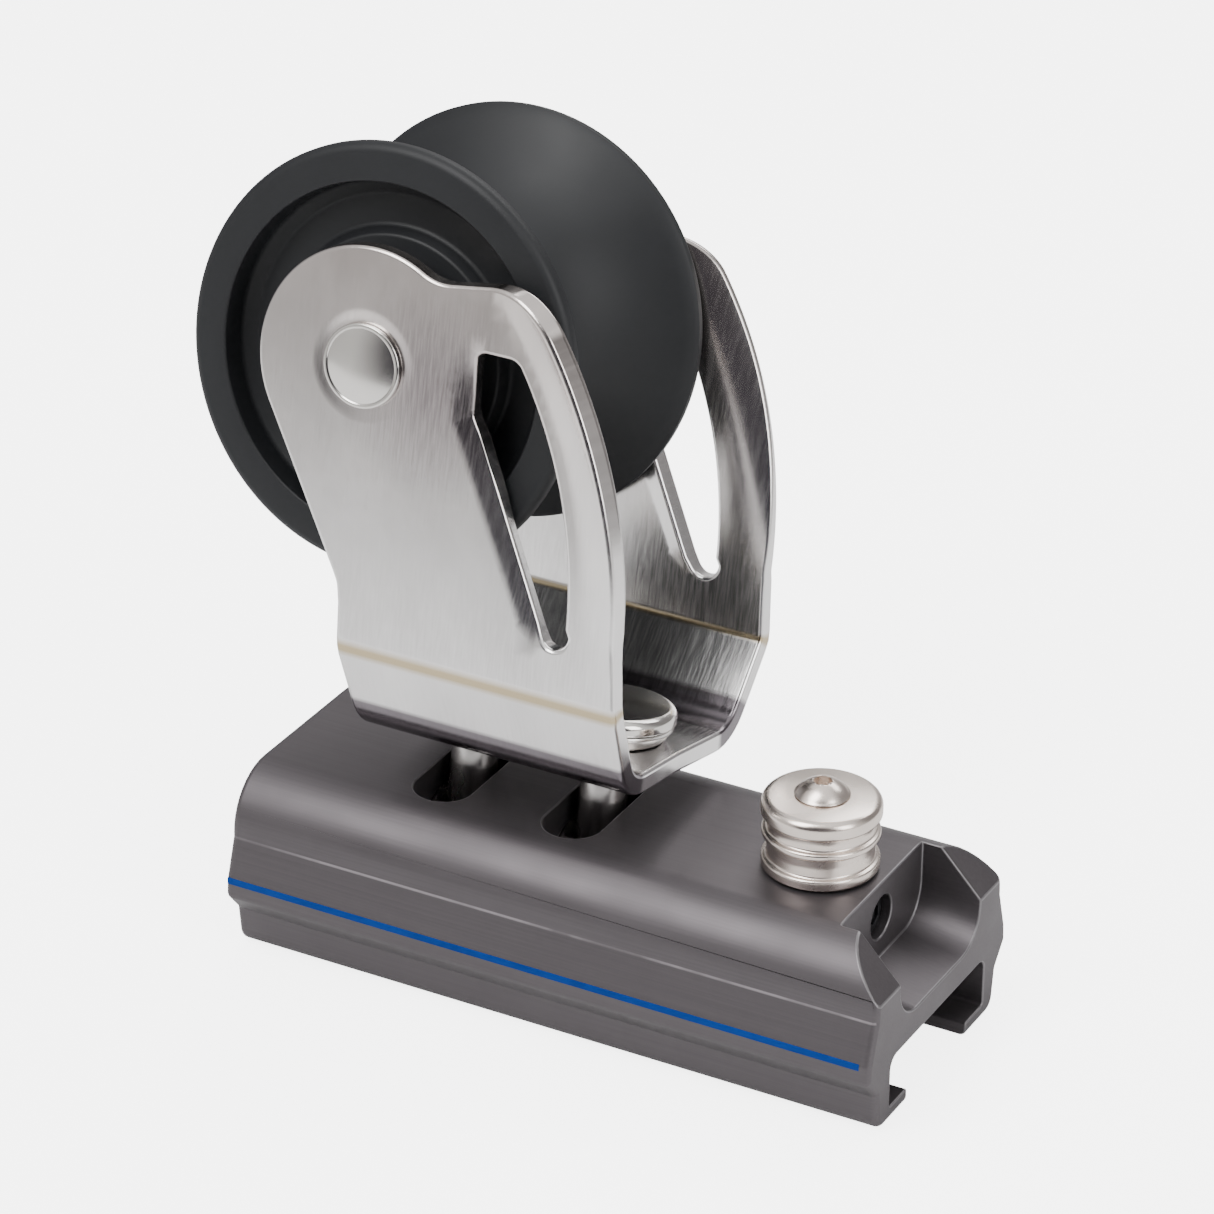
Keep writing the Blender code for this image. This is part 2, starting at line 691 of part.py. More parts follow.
def post(index, mat, parent):
    """Shouldered post: studs at both ends, thick waist between the bar and the strap."""
    strap_low = BASE_MID_Z - SHEET / 2 - PIVOT_Z
    stud_top = strap_low + SHEET + 2.7
    shoulder = BAR_RADIUS - 1.0 + FIT
    profile = [(0, -1.1), (STUD_RADIUS - 0.3, -1.1), (STUD_RADIUS, -0.8), (STUD_RADIUS, shoulder),
               (POST_RADIUS, shoulder), (POST_RADIUS, strap_low - FIT),
               (STUD_RADIUS, strap_low - FIT), (STUD_RADIUS, stud_top), (0, stud_top)]
    shape = moved(lathe(profile, 24), Matrix.Translation((POST_X[index], 0, 0)))
    return finish(f"post_{index + 1}", shape, mat, parent)


def post_washer(index, mat, parent):
    """Thick washer between the strap and a post's nut."""
    low = BASE_MID_Z + SHEET / 2 - PIVOT_Z + 0.15
    inner = STUD_RADIUS + FIT
    high = low + 1.9
    profile = [(inner, low), (6.6, low), (7.7, low + 1.4), (7.7, high - 0.2), (7.5, high), (inner, high)]
    shape = moved(lathe(profile, 28), Matrix.Translation((POST_X[index], 0, 0)))
    return finish(f"post_washer_{index + 1}", shape, mat, parent)


def post_nut(index, mat, parent):
    """Low round nut with a flat top and a rounded rim."""
    low = BASE_MID_Z + SHEET / 2 - PIVOT_Z + 2.2
    inner = STUD_RADIUS + FIT
    profile = [(inner, low), (7.6, low), (7.9, low + 0.3)]
    profile += arc((6.9, low + 1.0), 1.0, 0, 90, 3)
    profile += [(0, low + 2.0), (0, low + 1.2), (inner, low + 1.2)]
    shape = moved(lathe(profile, 28), Matrix.Translation((POST_X[index], 0, 0)))
    return finish(f"post_nut_{index + 1}", shape, mat, parent)


# ---------------------------------------------------------------- roller and axle

def axle(mat, parent):
    """Riveted axle: shaft with a low conical head on the outside of each cheek."""
    face = CHEEK_MID + SHEET / 2 + FIT
    outer = [(AXLE_RADIUS, face), (AXLE_HEAD_RADIUS, face), (AXLE_HEAD_RADIUS, face + 0.35),
             (AXLE_HEAD_RADIUS - 0.5, face + 0.8), (0, face + 1.3)]
    profile = [(radius, -height) for radius, height in reversed(outer)] + outer
    return finish("axle", along_y(lathe(profile, 28)), mat, parent)


def axle_bush(mat, parent):
    """Bearing sleeve on the axle between the two thrust washers."""
    profile = tube(AXLE_RADIUS + FIT, BUSH_RADIUS, -HUB_HALF, HUB_HALF)
    return finish("axle_bush", along_y(lathe(profile, 24)), mat, parent)


def thrust_washer(name, side, mat, parent):
    """Thin washer between the roller's hub and a cheek."""
    low = side * (HUB_HALF + FIT)
    high = side * (CHEEK_MID - SHEET / 2 - FIT)
    profile = tube(AXLE_RADIUS + FIT, HUB_RADIUS - 0.5, min(low, high), max(low, high))
    return finish(name, along_y(lathe(profile, 24)), mat, parent)


def roller_profile():
    """Half section of the roller, from the middle of the groove to the bore."""
    steps = 6
    groove = []
    for i in range(steps + 1):
        y = GROOVE_HALF * i / steps
        groove.append((CORE_RADIUS + (ROLLER_RADIUS - 0.5 - CORE_RADIUS) * (y / GROOVE_HALF) ** 2.2, y))
    rim = arc((ROLLER_RADIUS - 1.2, RIM_HALF - 1.2), 1.2, 20, 90, 3)
    dish, step = RECESS_DEPTH_HALF, RECESS_DEPTH_HALF + 1.6
    side = [(RING_RADIUS + 0.3, RIM_HALF), (RING_RADIUS, RIM_HALF - 0.3), (RING_RADIUS - 0.2, dish + 2.2),
            (RING_RADIUS - 2.0, dish), (15.5, dish), (14.6, step),
            (HUB_RADIUS, step), (HUB_RADIUS, HUB_HALF), (BUSH_RADIUS + FIT, HUB_HALF)]
    return groove + [(ROLLER_RADIUS, GROOVE_HALF + 0.5)] + rim + side


def roller(mat, parent):
    """Sheet roller with a wide hourglass groove."""
    half = roller_profile()
    profile = [(radius, -y) for radius, y in reversed(half[1:])] + half
    return finish("roller", along_y(lathe(profile, 44)), mat, parent)


# ---------------------------------------------------------------- assembly

def empty(name, location, tilt=0.0, parent=None):
    """Axis marker that moving pieces hang on."""
    marker = bpy.data.objects.new(name, None)
    bpy.context.collection.objects.link(marker)
    marker.parent = parent
    marker.location = Vector(location) * MM
    marker.rotation_euler = (tilt, 0, 0)
    return marker


def main():
    for old in list(bpy.data.objects):
        bpy.data.objects.remove(old, do_unlink=True)
    anodised = material("grey_anodised", (0.115, 0.108, 0.108), 0.42, 0.85)
    steel = material("polished_steel", (0.68, 0.65, 0.62), 0.18, 1.0)
    turned = material("turned_steel", (0.60, 0.58, 0.56), 0.3, 1.0)
    acetal = material("black_acetal", (0.035, 0.035, 0.038), 0.5, 0.0)
    bearing_plastic = material("bearing_plastic", (0.75, 0.74, 0.70), 0.45, 0.0)
    bronze = material("sleeve_bronze", (0.55, 0.38, 0.18), 0.35, 1.0)
    spring_steel = material("spring_steel", (0.5, 0.5, 0.5), 0.3, 1.0)

    car_body(anodised)
    bar_plug(turned)
    grub_screw(turned)
    plunger_sleeve(bronze)
    sleeve_cap(bronze)

    plunger_axis = empty("plunger_axis", (PLUNGER_X, 0, 0))
    plunger_knob(steel, plunger_axis)
    knob_screw(steel, plunger_axis)
    plunger_pin(turned, plunger_axis)
    plunger_spring(spring_steel, plunger_axis)

    tilt_axis = empty("tilt_axis", (0, 0, PIVOT_Z), -REST_TILT)
    bail(steel, tilt_axis).location.z = -PIVOT_Z * MM
    swivel_bar(turned, tilt_axis)
    for index in range(len(POST_X)):
        post(index, turned, tilt_axis)
        post_washer(index, turned, tilt_axis)
        post_nut(index, steel, tilt_axis)

    roller_axis = empty("roller_axis", (AXLE_X, 0, AXLE_Z - PIVOT_Z), 0.0, tilt_axis)
    axle(steel, roller_axis)
    axle_bush(bearing_plastic, roller_axis)
    thrust_washer("thrust_washer_near", -1, bearing_plastic, roller_axis)
    thrust_washer("thrust_washer_far", 1, bearing_plastic, roller_axis)
    roller(acetal, roller_axis)


main()
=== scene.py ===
"""Looks of a genoa sheet lead car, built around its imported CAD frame."""

import json
import math

import bmesh
import bpy
from mathutils import Matrix, Vector
from mathutils.geometry import delaunay_2d_cdt


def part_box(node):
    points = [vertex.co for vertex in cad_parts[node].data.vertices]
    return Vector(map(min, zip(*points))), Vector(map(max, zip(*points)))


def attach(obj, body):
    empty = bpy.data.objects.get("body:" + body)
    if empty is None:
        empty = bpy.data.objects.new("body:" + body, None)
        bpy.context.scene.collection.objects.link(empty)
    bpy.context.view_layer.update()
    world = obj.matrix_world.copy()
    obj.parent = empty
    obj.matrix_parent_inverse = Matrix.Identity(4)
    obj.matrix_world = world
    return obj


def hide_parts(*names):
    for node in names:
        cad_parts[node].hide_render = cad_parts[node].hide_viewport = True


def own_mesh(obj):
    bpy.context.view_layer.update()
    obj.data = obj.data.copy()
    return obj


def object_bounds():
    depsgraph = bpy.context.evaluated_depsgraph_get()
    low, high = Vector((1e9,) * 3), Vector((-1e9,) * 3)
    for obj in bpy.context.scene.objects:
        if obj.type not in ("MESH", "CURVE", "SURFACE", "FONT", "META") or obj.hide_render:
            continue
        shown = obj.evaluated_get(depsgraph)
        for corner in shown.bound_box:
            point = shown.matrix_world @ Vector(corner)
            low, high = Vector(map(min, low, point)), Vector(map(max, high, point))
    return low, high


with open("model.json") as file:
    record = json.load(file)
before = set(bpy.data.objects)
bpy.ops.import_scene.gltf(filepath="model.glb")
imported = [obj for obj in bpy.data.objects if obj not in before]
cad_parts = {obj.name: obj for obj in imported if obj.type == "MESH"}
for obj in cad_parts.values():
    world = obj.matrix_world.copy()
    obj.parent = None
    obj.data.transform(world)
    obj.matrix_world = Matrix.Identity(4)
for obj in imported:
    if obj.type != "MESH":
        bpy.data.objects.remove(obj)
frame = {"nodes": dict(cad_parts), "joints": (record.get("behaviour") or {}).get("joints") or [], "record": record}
CAD_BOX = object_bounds()

MM = 0.001
GAP = 0.3
PAST = 3  # how far a cutter runs beyond the face it opens

# ---- places taken from the frame

JOINTS = {joint["name"]: joint for joint in frame["joints"]}
BODY_OF = {node: body for body, nodes in frame["record"]["behaviour"]["bodies"].items() for node in nodes}


def span(node, axis):
    """Lowest and highest millimetre of a CAD node along an axis (0, 1 or 2)."""
    low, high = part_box(node)
    return low[axis] / MM, high[axis] / MM


def middle(node, axis):
    """Middle of a CAD node along an axis, in millimetres."""
    return sum(span(node, axis)) / 2


def radius_of(node):
    """Half of a CAD node's length along X, in millimetres."""
    low, high = span(node, 0)
    return (high - low) / 2


PIVOT_Z = JOINTS["bail_tilt"]["pos_m"][2] / MM
SPIN_AXIS = Vector(JOINTS["roller_spin"]["axis"])
TILT = math.atan2(-SPIN_AXIS.z, SPIN_AXIS.y)
LEAN = (Matrix.Translation((0, 0, PIVOT_Z)) @ Matrix.Rotation(-TILT, 4, "X")
        @ Matrix.Translation((0, 0, -PIVOT_Z)))
AXLE = LEAN.inverted() @ (Vector(JOINTS["roller_spin"]["pos_m"]) / MM)
AXLE_X, AXLE_Z = AXLE.x, AXLE.z
BODY_LOW, BODY_HIGH = span("car_body", 0)
POST_X = (middle("post_1", 0), middle("post_2", 0))
PLUNGER_X = middle("plunger_pin", 0)
KNOB_BASE_Z, KNOB_TOP_Z = span("plunger_knob", 2)
KNOB_RADIUS = radius_of("plunger_knob")
KNOB_WAIST = KNOB_RADIUS - 0.75
ROLLER_RADIUS = radius_of("roller")

# ---- driving dimensions, millimetres

# Slider
DECK_Z = 15.2
SHOULDER_RADIUS = 7.7
PANEL_TOP = (17.3, 7.1)
PANEL_FOOT = (18.95, 1.9)
WIDEST = (19.15, -0.4)
SKIRT_TOP = (16.7, -3.25)
SKIRT_FOOT = (16.0, -8.6)
SLOT_HALF = 13.0
LIP_TOP_Z = -6.7
LIP_TIP_HALF = 8.2
STRIPE_Z = (1.3, 2.15)
STRIPE_FLOOR = 18.7
STRIPE_END_X = 42.8
RECESS_WALL_X = 36.2
RECESS_HALF = 11.0
RECESS_FLOOR_Z = 5.0
RECESS_FALL = 1.35
RECESS_FILLET = 4.8
CHEEK_CHAMFER_X = 38.5
CHEEK_END_Z = 9.15
END_ROUND = 0.85
END_STEPS = 5
EDGE_ROUND = 0.22
BAR_RADIUS = 4.3
POST_RADIUS = 3.0
STUD_RADIUS = 2.4
DECK_SLOT_HALF = (3.8, 9.6)
DECK_SLOT_FLOOR_Z = 5.0
GRUB_Z = 10.3
GRUB_RADIUS = 2.8
SLEEVE_RADIUS = 6.0
SLEEVE_FLOOR_Z = 1.2
SPRING_WIRE = 0.45
SPRING_TURNS = 6

# Bail, upright, from the slot ceiling
SHEET = 2.6
SHEET_ROUND = 0.55
CHEEK_MID = 19.6
BASE_MID_Z = 22.1
BASE_CORNER = (13.3, 6.0)
FOLD_Z = 33.2
FOLD_RADIUS = 4.0
LOBE_RADIUS = 14.4
EDGE_CENTRE = (AXLE_X - 24.2, AXLE_Z - 26.3)
EDGE_RADIUS = 61.0
EDGE_CORNER_RADIUS = 10.0
NECK_RADIUS = 6.0
TOP_EDGE_POINT = (AXLE_X + 11.2, AXLE_Z + 12.2)
TOP_EDGE_SLOPE = math.radians(8.9)
BACK_EDGE_SLOPE = math.radians(29.8)
BACK_KNEE_Z = AXLE_Z - 27.2
BACK_FOLD_X = AXLE_X - 0.3
BACK_BASE_X = AXLE_X + 0.7
FRONT_BASE_X = 7.2
FRONT_FOLD_X = 7.9
WINDOW_EDGE_RADIUS = 54.2
WINDOW_BACK_X = AXLE_X + 14.8
WINDOW_KNEE_Z = AXLE_Z - 3.0
WINDOW_TOP_Z = AXLE_Z + 4.8
WINDOW_FOOT = (AXLE_X + 28.7, AXLE_Z - 26.6, 1.8)
WINDOW_CORNER_RADIUS = 2.0
FLARE = 2.1
FLARE_WIDTH = 5.4
FLARE_Z = (31.0, 72.0)
DIMPLE_RADII = (5.3, 7.0)
DIMPLE_DEPTH = 0.14
ROLL_WIDTH = 2.7
ROLL_SLOPE = 0.22
ROLL_SOFT = 0.8
# Centre and reach of the painted shade, a dark reflection painted into the colour beside each axle head
PAINTED_SHADE_AT = (AXLE_X + 9.5, AXLE_Z - 1.5)
PAINTED_SHADE_RADII = (2.0, 13.5)
WARM_Z = (45.0, 80.0)
TINT_REACH = (0.25, 0.95)

# Tones and strengths of the strap's finish, among them the painted shade beside each axle head and under its foot
# bends
PAINTED_SHADE_STRENGTH = 0.75
PAINTED_SHADE_DARK = (0.30, 0.26, 0.27)
PAINTED_SHADE_LIGHT = (0.46, 0.41, 0.42)
# painted shade over the bends at the strap's foot
BEND_PAINTED_SHADE = (0.20, 0.18, 0.195)
TINT_STRENGTH = 0.85
STRAW = (0.46, 0.36, 0.19)

# Roller and axle
RIM_HALF = 17.2
GROOVE_HALF = 15.0
CORE_RADIUS = 13.0
RING_RADIUS = 21.3
DISH_HALF = 12.8
STEP_RADIUS = 14.6
STEP_HALF = 14.4
HUB_RADIUS = 9.0
HUB_HALF = 16.2
AXLE_RADIUS = 4.0
AXLE_HEAD_RADIUS = 5.15
BUSH_RADIUS = 5.2


# ---- outlines

def arc(centre, radius, start, end, steps):
    """Points on an arc, angles in degrees."""
    angles = [math.radians(start + (end - start) * i / steps) for i in range(steps + 1)]
    return [(centre[0] + radius * math.cos(a), centre[1] + radius * math.sin(a)) for a in angles]


def rounded(corners, steps=6, closed=True):
    """Outline from (x, y, radius) corners, each one rounded by its own radius."""
    outline = []
    for i, (x, y, radius) in enumerate(corners):
        here = Vector((x, y))
        if radius == 0 or (not closed and i in (0, len(corners) - 1)):
            outline.append((x, y))
            continue
        before = (Vector(corners[i - 1][:2]) - here).normalized()
        after = (Vector(corners[(i + 1) % len(corners)][:2]) - here).normalized()
        half = before.angle(after) / 2
        centre = here + (before + after).normalized() * (radius / math.sin(half))
        first = here + before * (radius / math.tan(half)) - centre
        last = here + after * (radius / math.tan(half)) - centre
        turn = first.angle_signed(last)
        for k in range(steps + 1):
            spoke = first.copy()
            spoke.rotate(Matrix.Rotation(-turn * k / steps, 2))
            outline.append(tuple(centre + spoke))
    return outline


def mirrored(right, steps):
    """Rounded outline from its right-hand corners and their mirror images."""
    return rounded(right + [(-y, z, r) for y, z, r in reversed(right)], steps)


def line_circle(point, direction, centre, radius, side):
    """Where a line meets a circle, on the forward (+1) or the backward (-1) side."""
    offset = point - centre
    along = offset.dot(direction)
    reach = math.sqrt(radius ** 2 - offset.length_squared + along ** 2)
    return point + direction * (side * reach - along)


def bearing(centre, point):
    """Direction from centre to point, in degrees."""
    return math.degrees(math.atan2(point[1] - centre[1], point[0] - centre[0]))


def spread(first, last, steps):
    """Evenly spaced points on a straight line."""
    a, b = Vector(first), Vector(last)
    return [tuple(a.lerp(b, i / steps)) for i in range(steps + 1)]


# ---- mesh helpers

def solid(name, bm, mats, place=None):
    """Named object in metres from a millimetre bmesh."""
    bmesh.ops.recalc_face_normals(bm, faces=bm.faces)
    matrix = Matrix.Scale(MM, 4) @ (place or Matrix.Identity(4))
    bmesh.ops.transform(bm, matrix=matrix, verts=bm.verts)
    mesh = bpy.data.meshes.new(name)
    bm.to_mesh(mesh)
    bm.free()
    obj = bpy.data.objects.new(name, mesh)
    bpy.context.collection.objects.link(obj)
    for mat in mats:
        mesh.materials.append(mat)
    mesh.shade_smooth()
    mesh.set_sharp_from_angle(angle=math.radians(40))
    return obj


def skin(bm, rings):
    """Closed skin through rings of vertices, capped at both ends."""
    for ring, after in zip(rings, rings[1:]):
        for i in range(len(ring)):
            j = (i + 1) % len(ring)
            bm.faces.new((ring[i], ring[j], after[j], after[i]))
    bm.faces.new(rings[0])
    bm.faces.new(rings[-1])
    return bm


def prism(outline, low, high, axis):
    """Outline extruded along an axis: XZ outlines along Y, YZ along X, XY along Z."""
    place = {
        "X": lambda a, b, c: (c, a, b),
        "Y": lambda a, b, c: (a, c, b),
        "Z": lambda a, b, c: (a, b, c),
    }[axis]
    bm = bmesh.new()
    return skin(bm, [[bm.verts.new(place(a, b, c)) for a, b in outline] for c in (low, high)])


def lathe(profile, segments):
    """Closed (radius, height) profile turned about Z; points at radius 0 become poles."""
    bm = bmesh.new()
    rings = []
    for radius, height in profile:
        if radius < 1e-6:
            rings.append([bm.verts.new((0, 0, height))] * segments)
            continue
        angles = [2 * math.pi * i / segments for i in range(segments)]
        rings.append([bm.verts.new((radius * math.cos(a), radius * math.sin(a), height)) for a in angles])
    for k, ring in enumerate(rings):
        after = rings[(k + 1) % len(rings)]
        for i in range(segments):
            j = (i + 1) % segments
            corners = list(dict.fromkeys((ring[i], ring[j], after[j], after[i])))
            if len(corners) > 2:
                bm.faces.new(corners)
    return bm


def rod(radius, low, high):
    """Square-ended (radius, height) profile of a plain cylinder."""
    return [(0, low), (radius, low), (radius, high), (0, high)]


def hexagon(across_flats, low, high):
    """Hexagonal prism along Z."""
    return prism(arc((0, 0), across_flats / math.sqrt(3), 0, 300, 5), low, high, "Z")


def moved(bm, matrix):
    """The same bmesh after a transform."""
    bmesh.ops.transform(bm, matrix=matrix, verts=bm.verts)
    return bm


def shift(x, y, z):
    """Translation in millimetres."""
    return Matrix.Translation((x, y, z))


UP = Vector((0, 0, 1))
ALONG_X = Matrix.Rotation(math.radians(90), 4, "Y")
ALONG_Y = Matrix.Rotation(math.radians(-90), 4, "X")
AT_PLUNGER = shift(PLUNGER_X, 0, 0)
AT_AXLE = LEAN @ shift(AXLE_X, 0, AXLE_Z)


def carve(obj, cutters):
    """Take millimetre bmeshes away from an object, one after the other."""
    for bm in cutters:
        cutter = solid("cutter", bm, [])
        boolean = obj.modifiers.new("cut", "BOOLEAN")
        boolean.operation = "DIFFERENCE"
        boolean.solver = "EXACT"
        boolean.object = cutter
        bake(obj)
        bpy.data.objects.remove(cutter, do_unlink=True)


def bake(obj):
    """Apply an object's modifiers."""
    graph = bpy.context.evaluated_depsgraph_get()
    mesh = bpy.data.meshes.new_from_object(obj.evaluated_get(graph))
    obj.modifiers.clear()
    obj.data = mesh


def soften(obj, width, segments=2, edge_material=-1):
    """Round an object's sharp edges, with an optional material on the rounds."""
    bevel = obj.modifiers.new("edges", "BEVEL")
    bevel.width = width * MM
    bevel.segments = segments
    bevel.limit_method = "ANGLE"
    bevel.angle_limit = math.radians(38)
    bevel.use_clamp_overlap = False
    bevel.miter_outer = "MITER_ARC"
    bevel.material = edge_material
    bake(obj)
    obj.data.shade_smooth()
    weighted = obj.modifiers.new("normals", "WEIGHTED_NORMAL")
    weighted.keep_sharp = False
    weighted.weight = 100
    bake(obj)


def dress(obj, *nodes):
    """Let a piece stand for CAD nodes: hang it on their body and hide the nodes."""
    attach(obj, BODY_OF[nodes[0]])
    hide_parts(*nodes)
    return obj


def turned_piece(node, profile, segments, mat, local, place=None):
    """Lathed piece that stands for a CAD node, placed by one or two transforms."""
    return dress(solid(f"{node}_look", moved(lathe(profile, segments), local), [mat], place), node)


# ---- materials

def shader(name, colour, roughness, metallic):
    """New node material, its tree and its Principled shader."""
    mat = bpy.data.materials.new(name)
    mat.use_nodes = True
    mat.diffuse_color = (*colour, 1)
    tree = mat.node_tree
    principled = tree.nodes["Principled BSDF"]
    principled.inputs["Base Color"].default_value = (*colour, 1)
    principled.inputs["Roughness"].default_value = roughness
    principled.inputs["Metallic"].default_value = metallic
    return mat, tree, principled


def noise(tree, scale, detail, seed=0.0, stretch=(1, 1, 1), uv=None):
    """Noise factor over object space, or over a UV map, stretched along the axes."""
    if uv:
        source = tree.nodes.new("ShaderNodeUVMap")
        source.uv_map = uv
        coordinates = source.outputs["UV"]
    else:
        coordinates = tree.nodes.new("ShaderNodeTexCoord").outputs["Object"]
    mapping = tree.nodes.new("ShaderNodeMapping")
    mapping.inputs["Location"].default_value = (seed, seed, seed)
    mapping.inputs["Scale"].default_value = stretch
    texture = tree.nodes.new("ShaderNodeTexNoise")
    texture.inputs["Scale"].default_value = scale
    texture.inputs["Detail"].default_value = detail
    tree.links.new(coordinates, mapping.inputs["Vector"])
    tree.links.new(mapping.outputs["Vector"], texture.inputs["Vector"])
    return texture.outputs["Fac"]


def ramp(tree, factor, stops):
    """Colour ramp over a factor: stops are (place, colour)."""
    node = tree.nodes.new("ShaderNodeValToRGB")
    while len(node.color_ramp.elements) < len(stops):
        node.color_ramp.elements.new(0.5)
    for element, (place, colour) in zip(node.color_ramp.elements, stops):
        element.position = place
        element.color = (*colour, 1)
    tree.links.new(factor, node.inputs["Fac"])
    return node.outputs["Color"]


def remap(tree, factor, low, high, span_in=(0.3, 0.7)):
    """Factor moved into a range."""
    node = tree.nodes.new("ShaderNodeMapRange")
    node.inputs["From Min"].default_value = span_in[0]
    node.inputs["From Max"].default_value = span_in[1]
    node.inputs["To Min"].default_value = low
    node.inputs["To Max"].default_value = high
    tree.links.new(factor, node.inputs["Value"])
    return node.outputs["Result"]


def mix(tree, factor, first, second):
    """Colour mix of two outputs by a factor."""
    node = tree.nodes.new("ShaderNodeMix")
    node.data_type = "RGBA"
    tree.links.new(factor, node.inputs["Factor"])
    for name, value in (("A", first), ("B", second)):
        socket = [s for s in node.inputs if s.name == name and s.type == "RGBA"][0]
        if isinstance(value, tuple):
            socket.default_value = (*value, 1)
        else:
            tree.links.new(value, socket)
    return [s for s in node.outputs if s.type == "RGBA"][0]


def maths(tree, operation, first, second=None):
    """Result of a math node; each input is an output socket or a number."""
    node = tree.nodes.new("ShaderNodeMath")
    node.operation = operation
    for socket, value in zip(node.inputs, (first, second)):
        if isinstance(value, float):
            socket.default_value = value
        elif value is not None:
            tree.links.new(value, socket)
    return node.outputs[0]


def bump(tree, principled, height, strength, distance):
    """Relief from a height factor."""
    node = tree.nodes.new("ShaderNodeBump")
    node.inputs["Strength"].default_value = strength
    node.inputs["Distance"].default_value = distance * MM
    tree.links.new(height, node.inputs["Height"])
    tree.links.new(node.outputs["Normal"], principled.inputs["Normal"])


def shades(colour, spread_by):
    """Darker and lighter version of a colour."""
    return tuple(c * (1 - spread_by) for c in colour), tuple(c * (1 + spread_by) for c in colour)


def painted_highlight_line(tree, beyond, height, half_width):
    """Factor that is 1 on a thin broken line along X, at a height on both side faces (millimetres); it masks a
    painted highlight.
    """
    parts = tree.nodes.new("ShaderNodeSeparateXYZ")
    tree.links.new(tree.nodes.new("ShaderNodeTexCoord").outputs["Object"], parts.inputs["Vector"])
    outside = maths(tree, "ABSOLUTE", parts.outputs["Y"])
    side = remap(tree, outside, 0.0, 1.0, (beyond * MM, (beyond + 0.1) * MM))
    distance = maths(tree, "ABSOLUTE", maths(tree, "SUBTRACT", parts.outputs["Z"], height * MM))
    line = remap(tree, distance, 1.0, 0.0, (0.4 * half_width * MM, half_width * MM))
    patchy = remap(tree, noise(tree, 90, 3, 7.0, (1, 0.2, 0.2)), 0.25, 1.0, (0.38, 0.55))
    return maths(tree, "MULTIPLY", maths(tree, "MULTIPLY", side, line), patchy)


def anodised(name, colour, roughness, crease_highlight=None):
    """Grey anodised aluminium with faint lines along the extrusion, and an optional painted highlight along a
    crease.
    """
    mat, tree, principled = shader(name, colour, roughness, 0.8)
    lines = noise(tree, 60, 6, 0.0, (0.6, 60, 60))
    clouds = noise(tree, 90, 3, 4.0)
    dark, light = shades(colour, 0.05)
    base = ramp(tree, lines, [(0.3, dark), (0.7, light)])
    # painted highlight: a light line along the crease, 2.6 times the grey
    if crease_highlight:
        base = mix(tree, painted_highlight_line(tree, *crease_highlight), base, tuple(c * 2.6 for c in colour))
    tree.links.new(base, principled.inputs["Base Color"])
    tree.links.new(remap(tree, clouds, roughness - 0.04, roughness + 0.05), principled.inputs["Roughness"])
    bump(tree, principled, noise(tree, 2600, 3, 1.0), 0.12, 0.02)
    return mat


def steel(name, colour, roughness):
    """Stainless steel with soft smears and fine polishing marks."""
    mat, tree, principled = shader(name, colour, roughness, 1.0)
    smears = noise(tree, 120, 5, 2.0)
    dark, light = shades(colour, 0.05)
    base = ramp(tree, smears, [(0.35, dark), (0.65, light)])
    tree.links.new(base, principled.inputs["Base Color"])
    tree.links.new(remap(tree, smears, roughness * 0.8, roughness * 1.25), principled.inputs["Roughness"])
    bump(tree, principled, noise(tree, 900, 4, 3.0), 0.08, 0.01)
    return mat


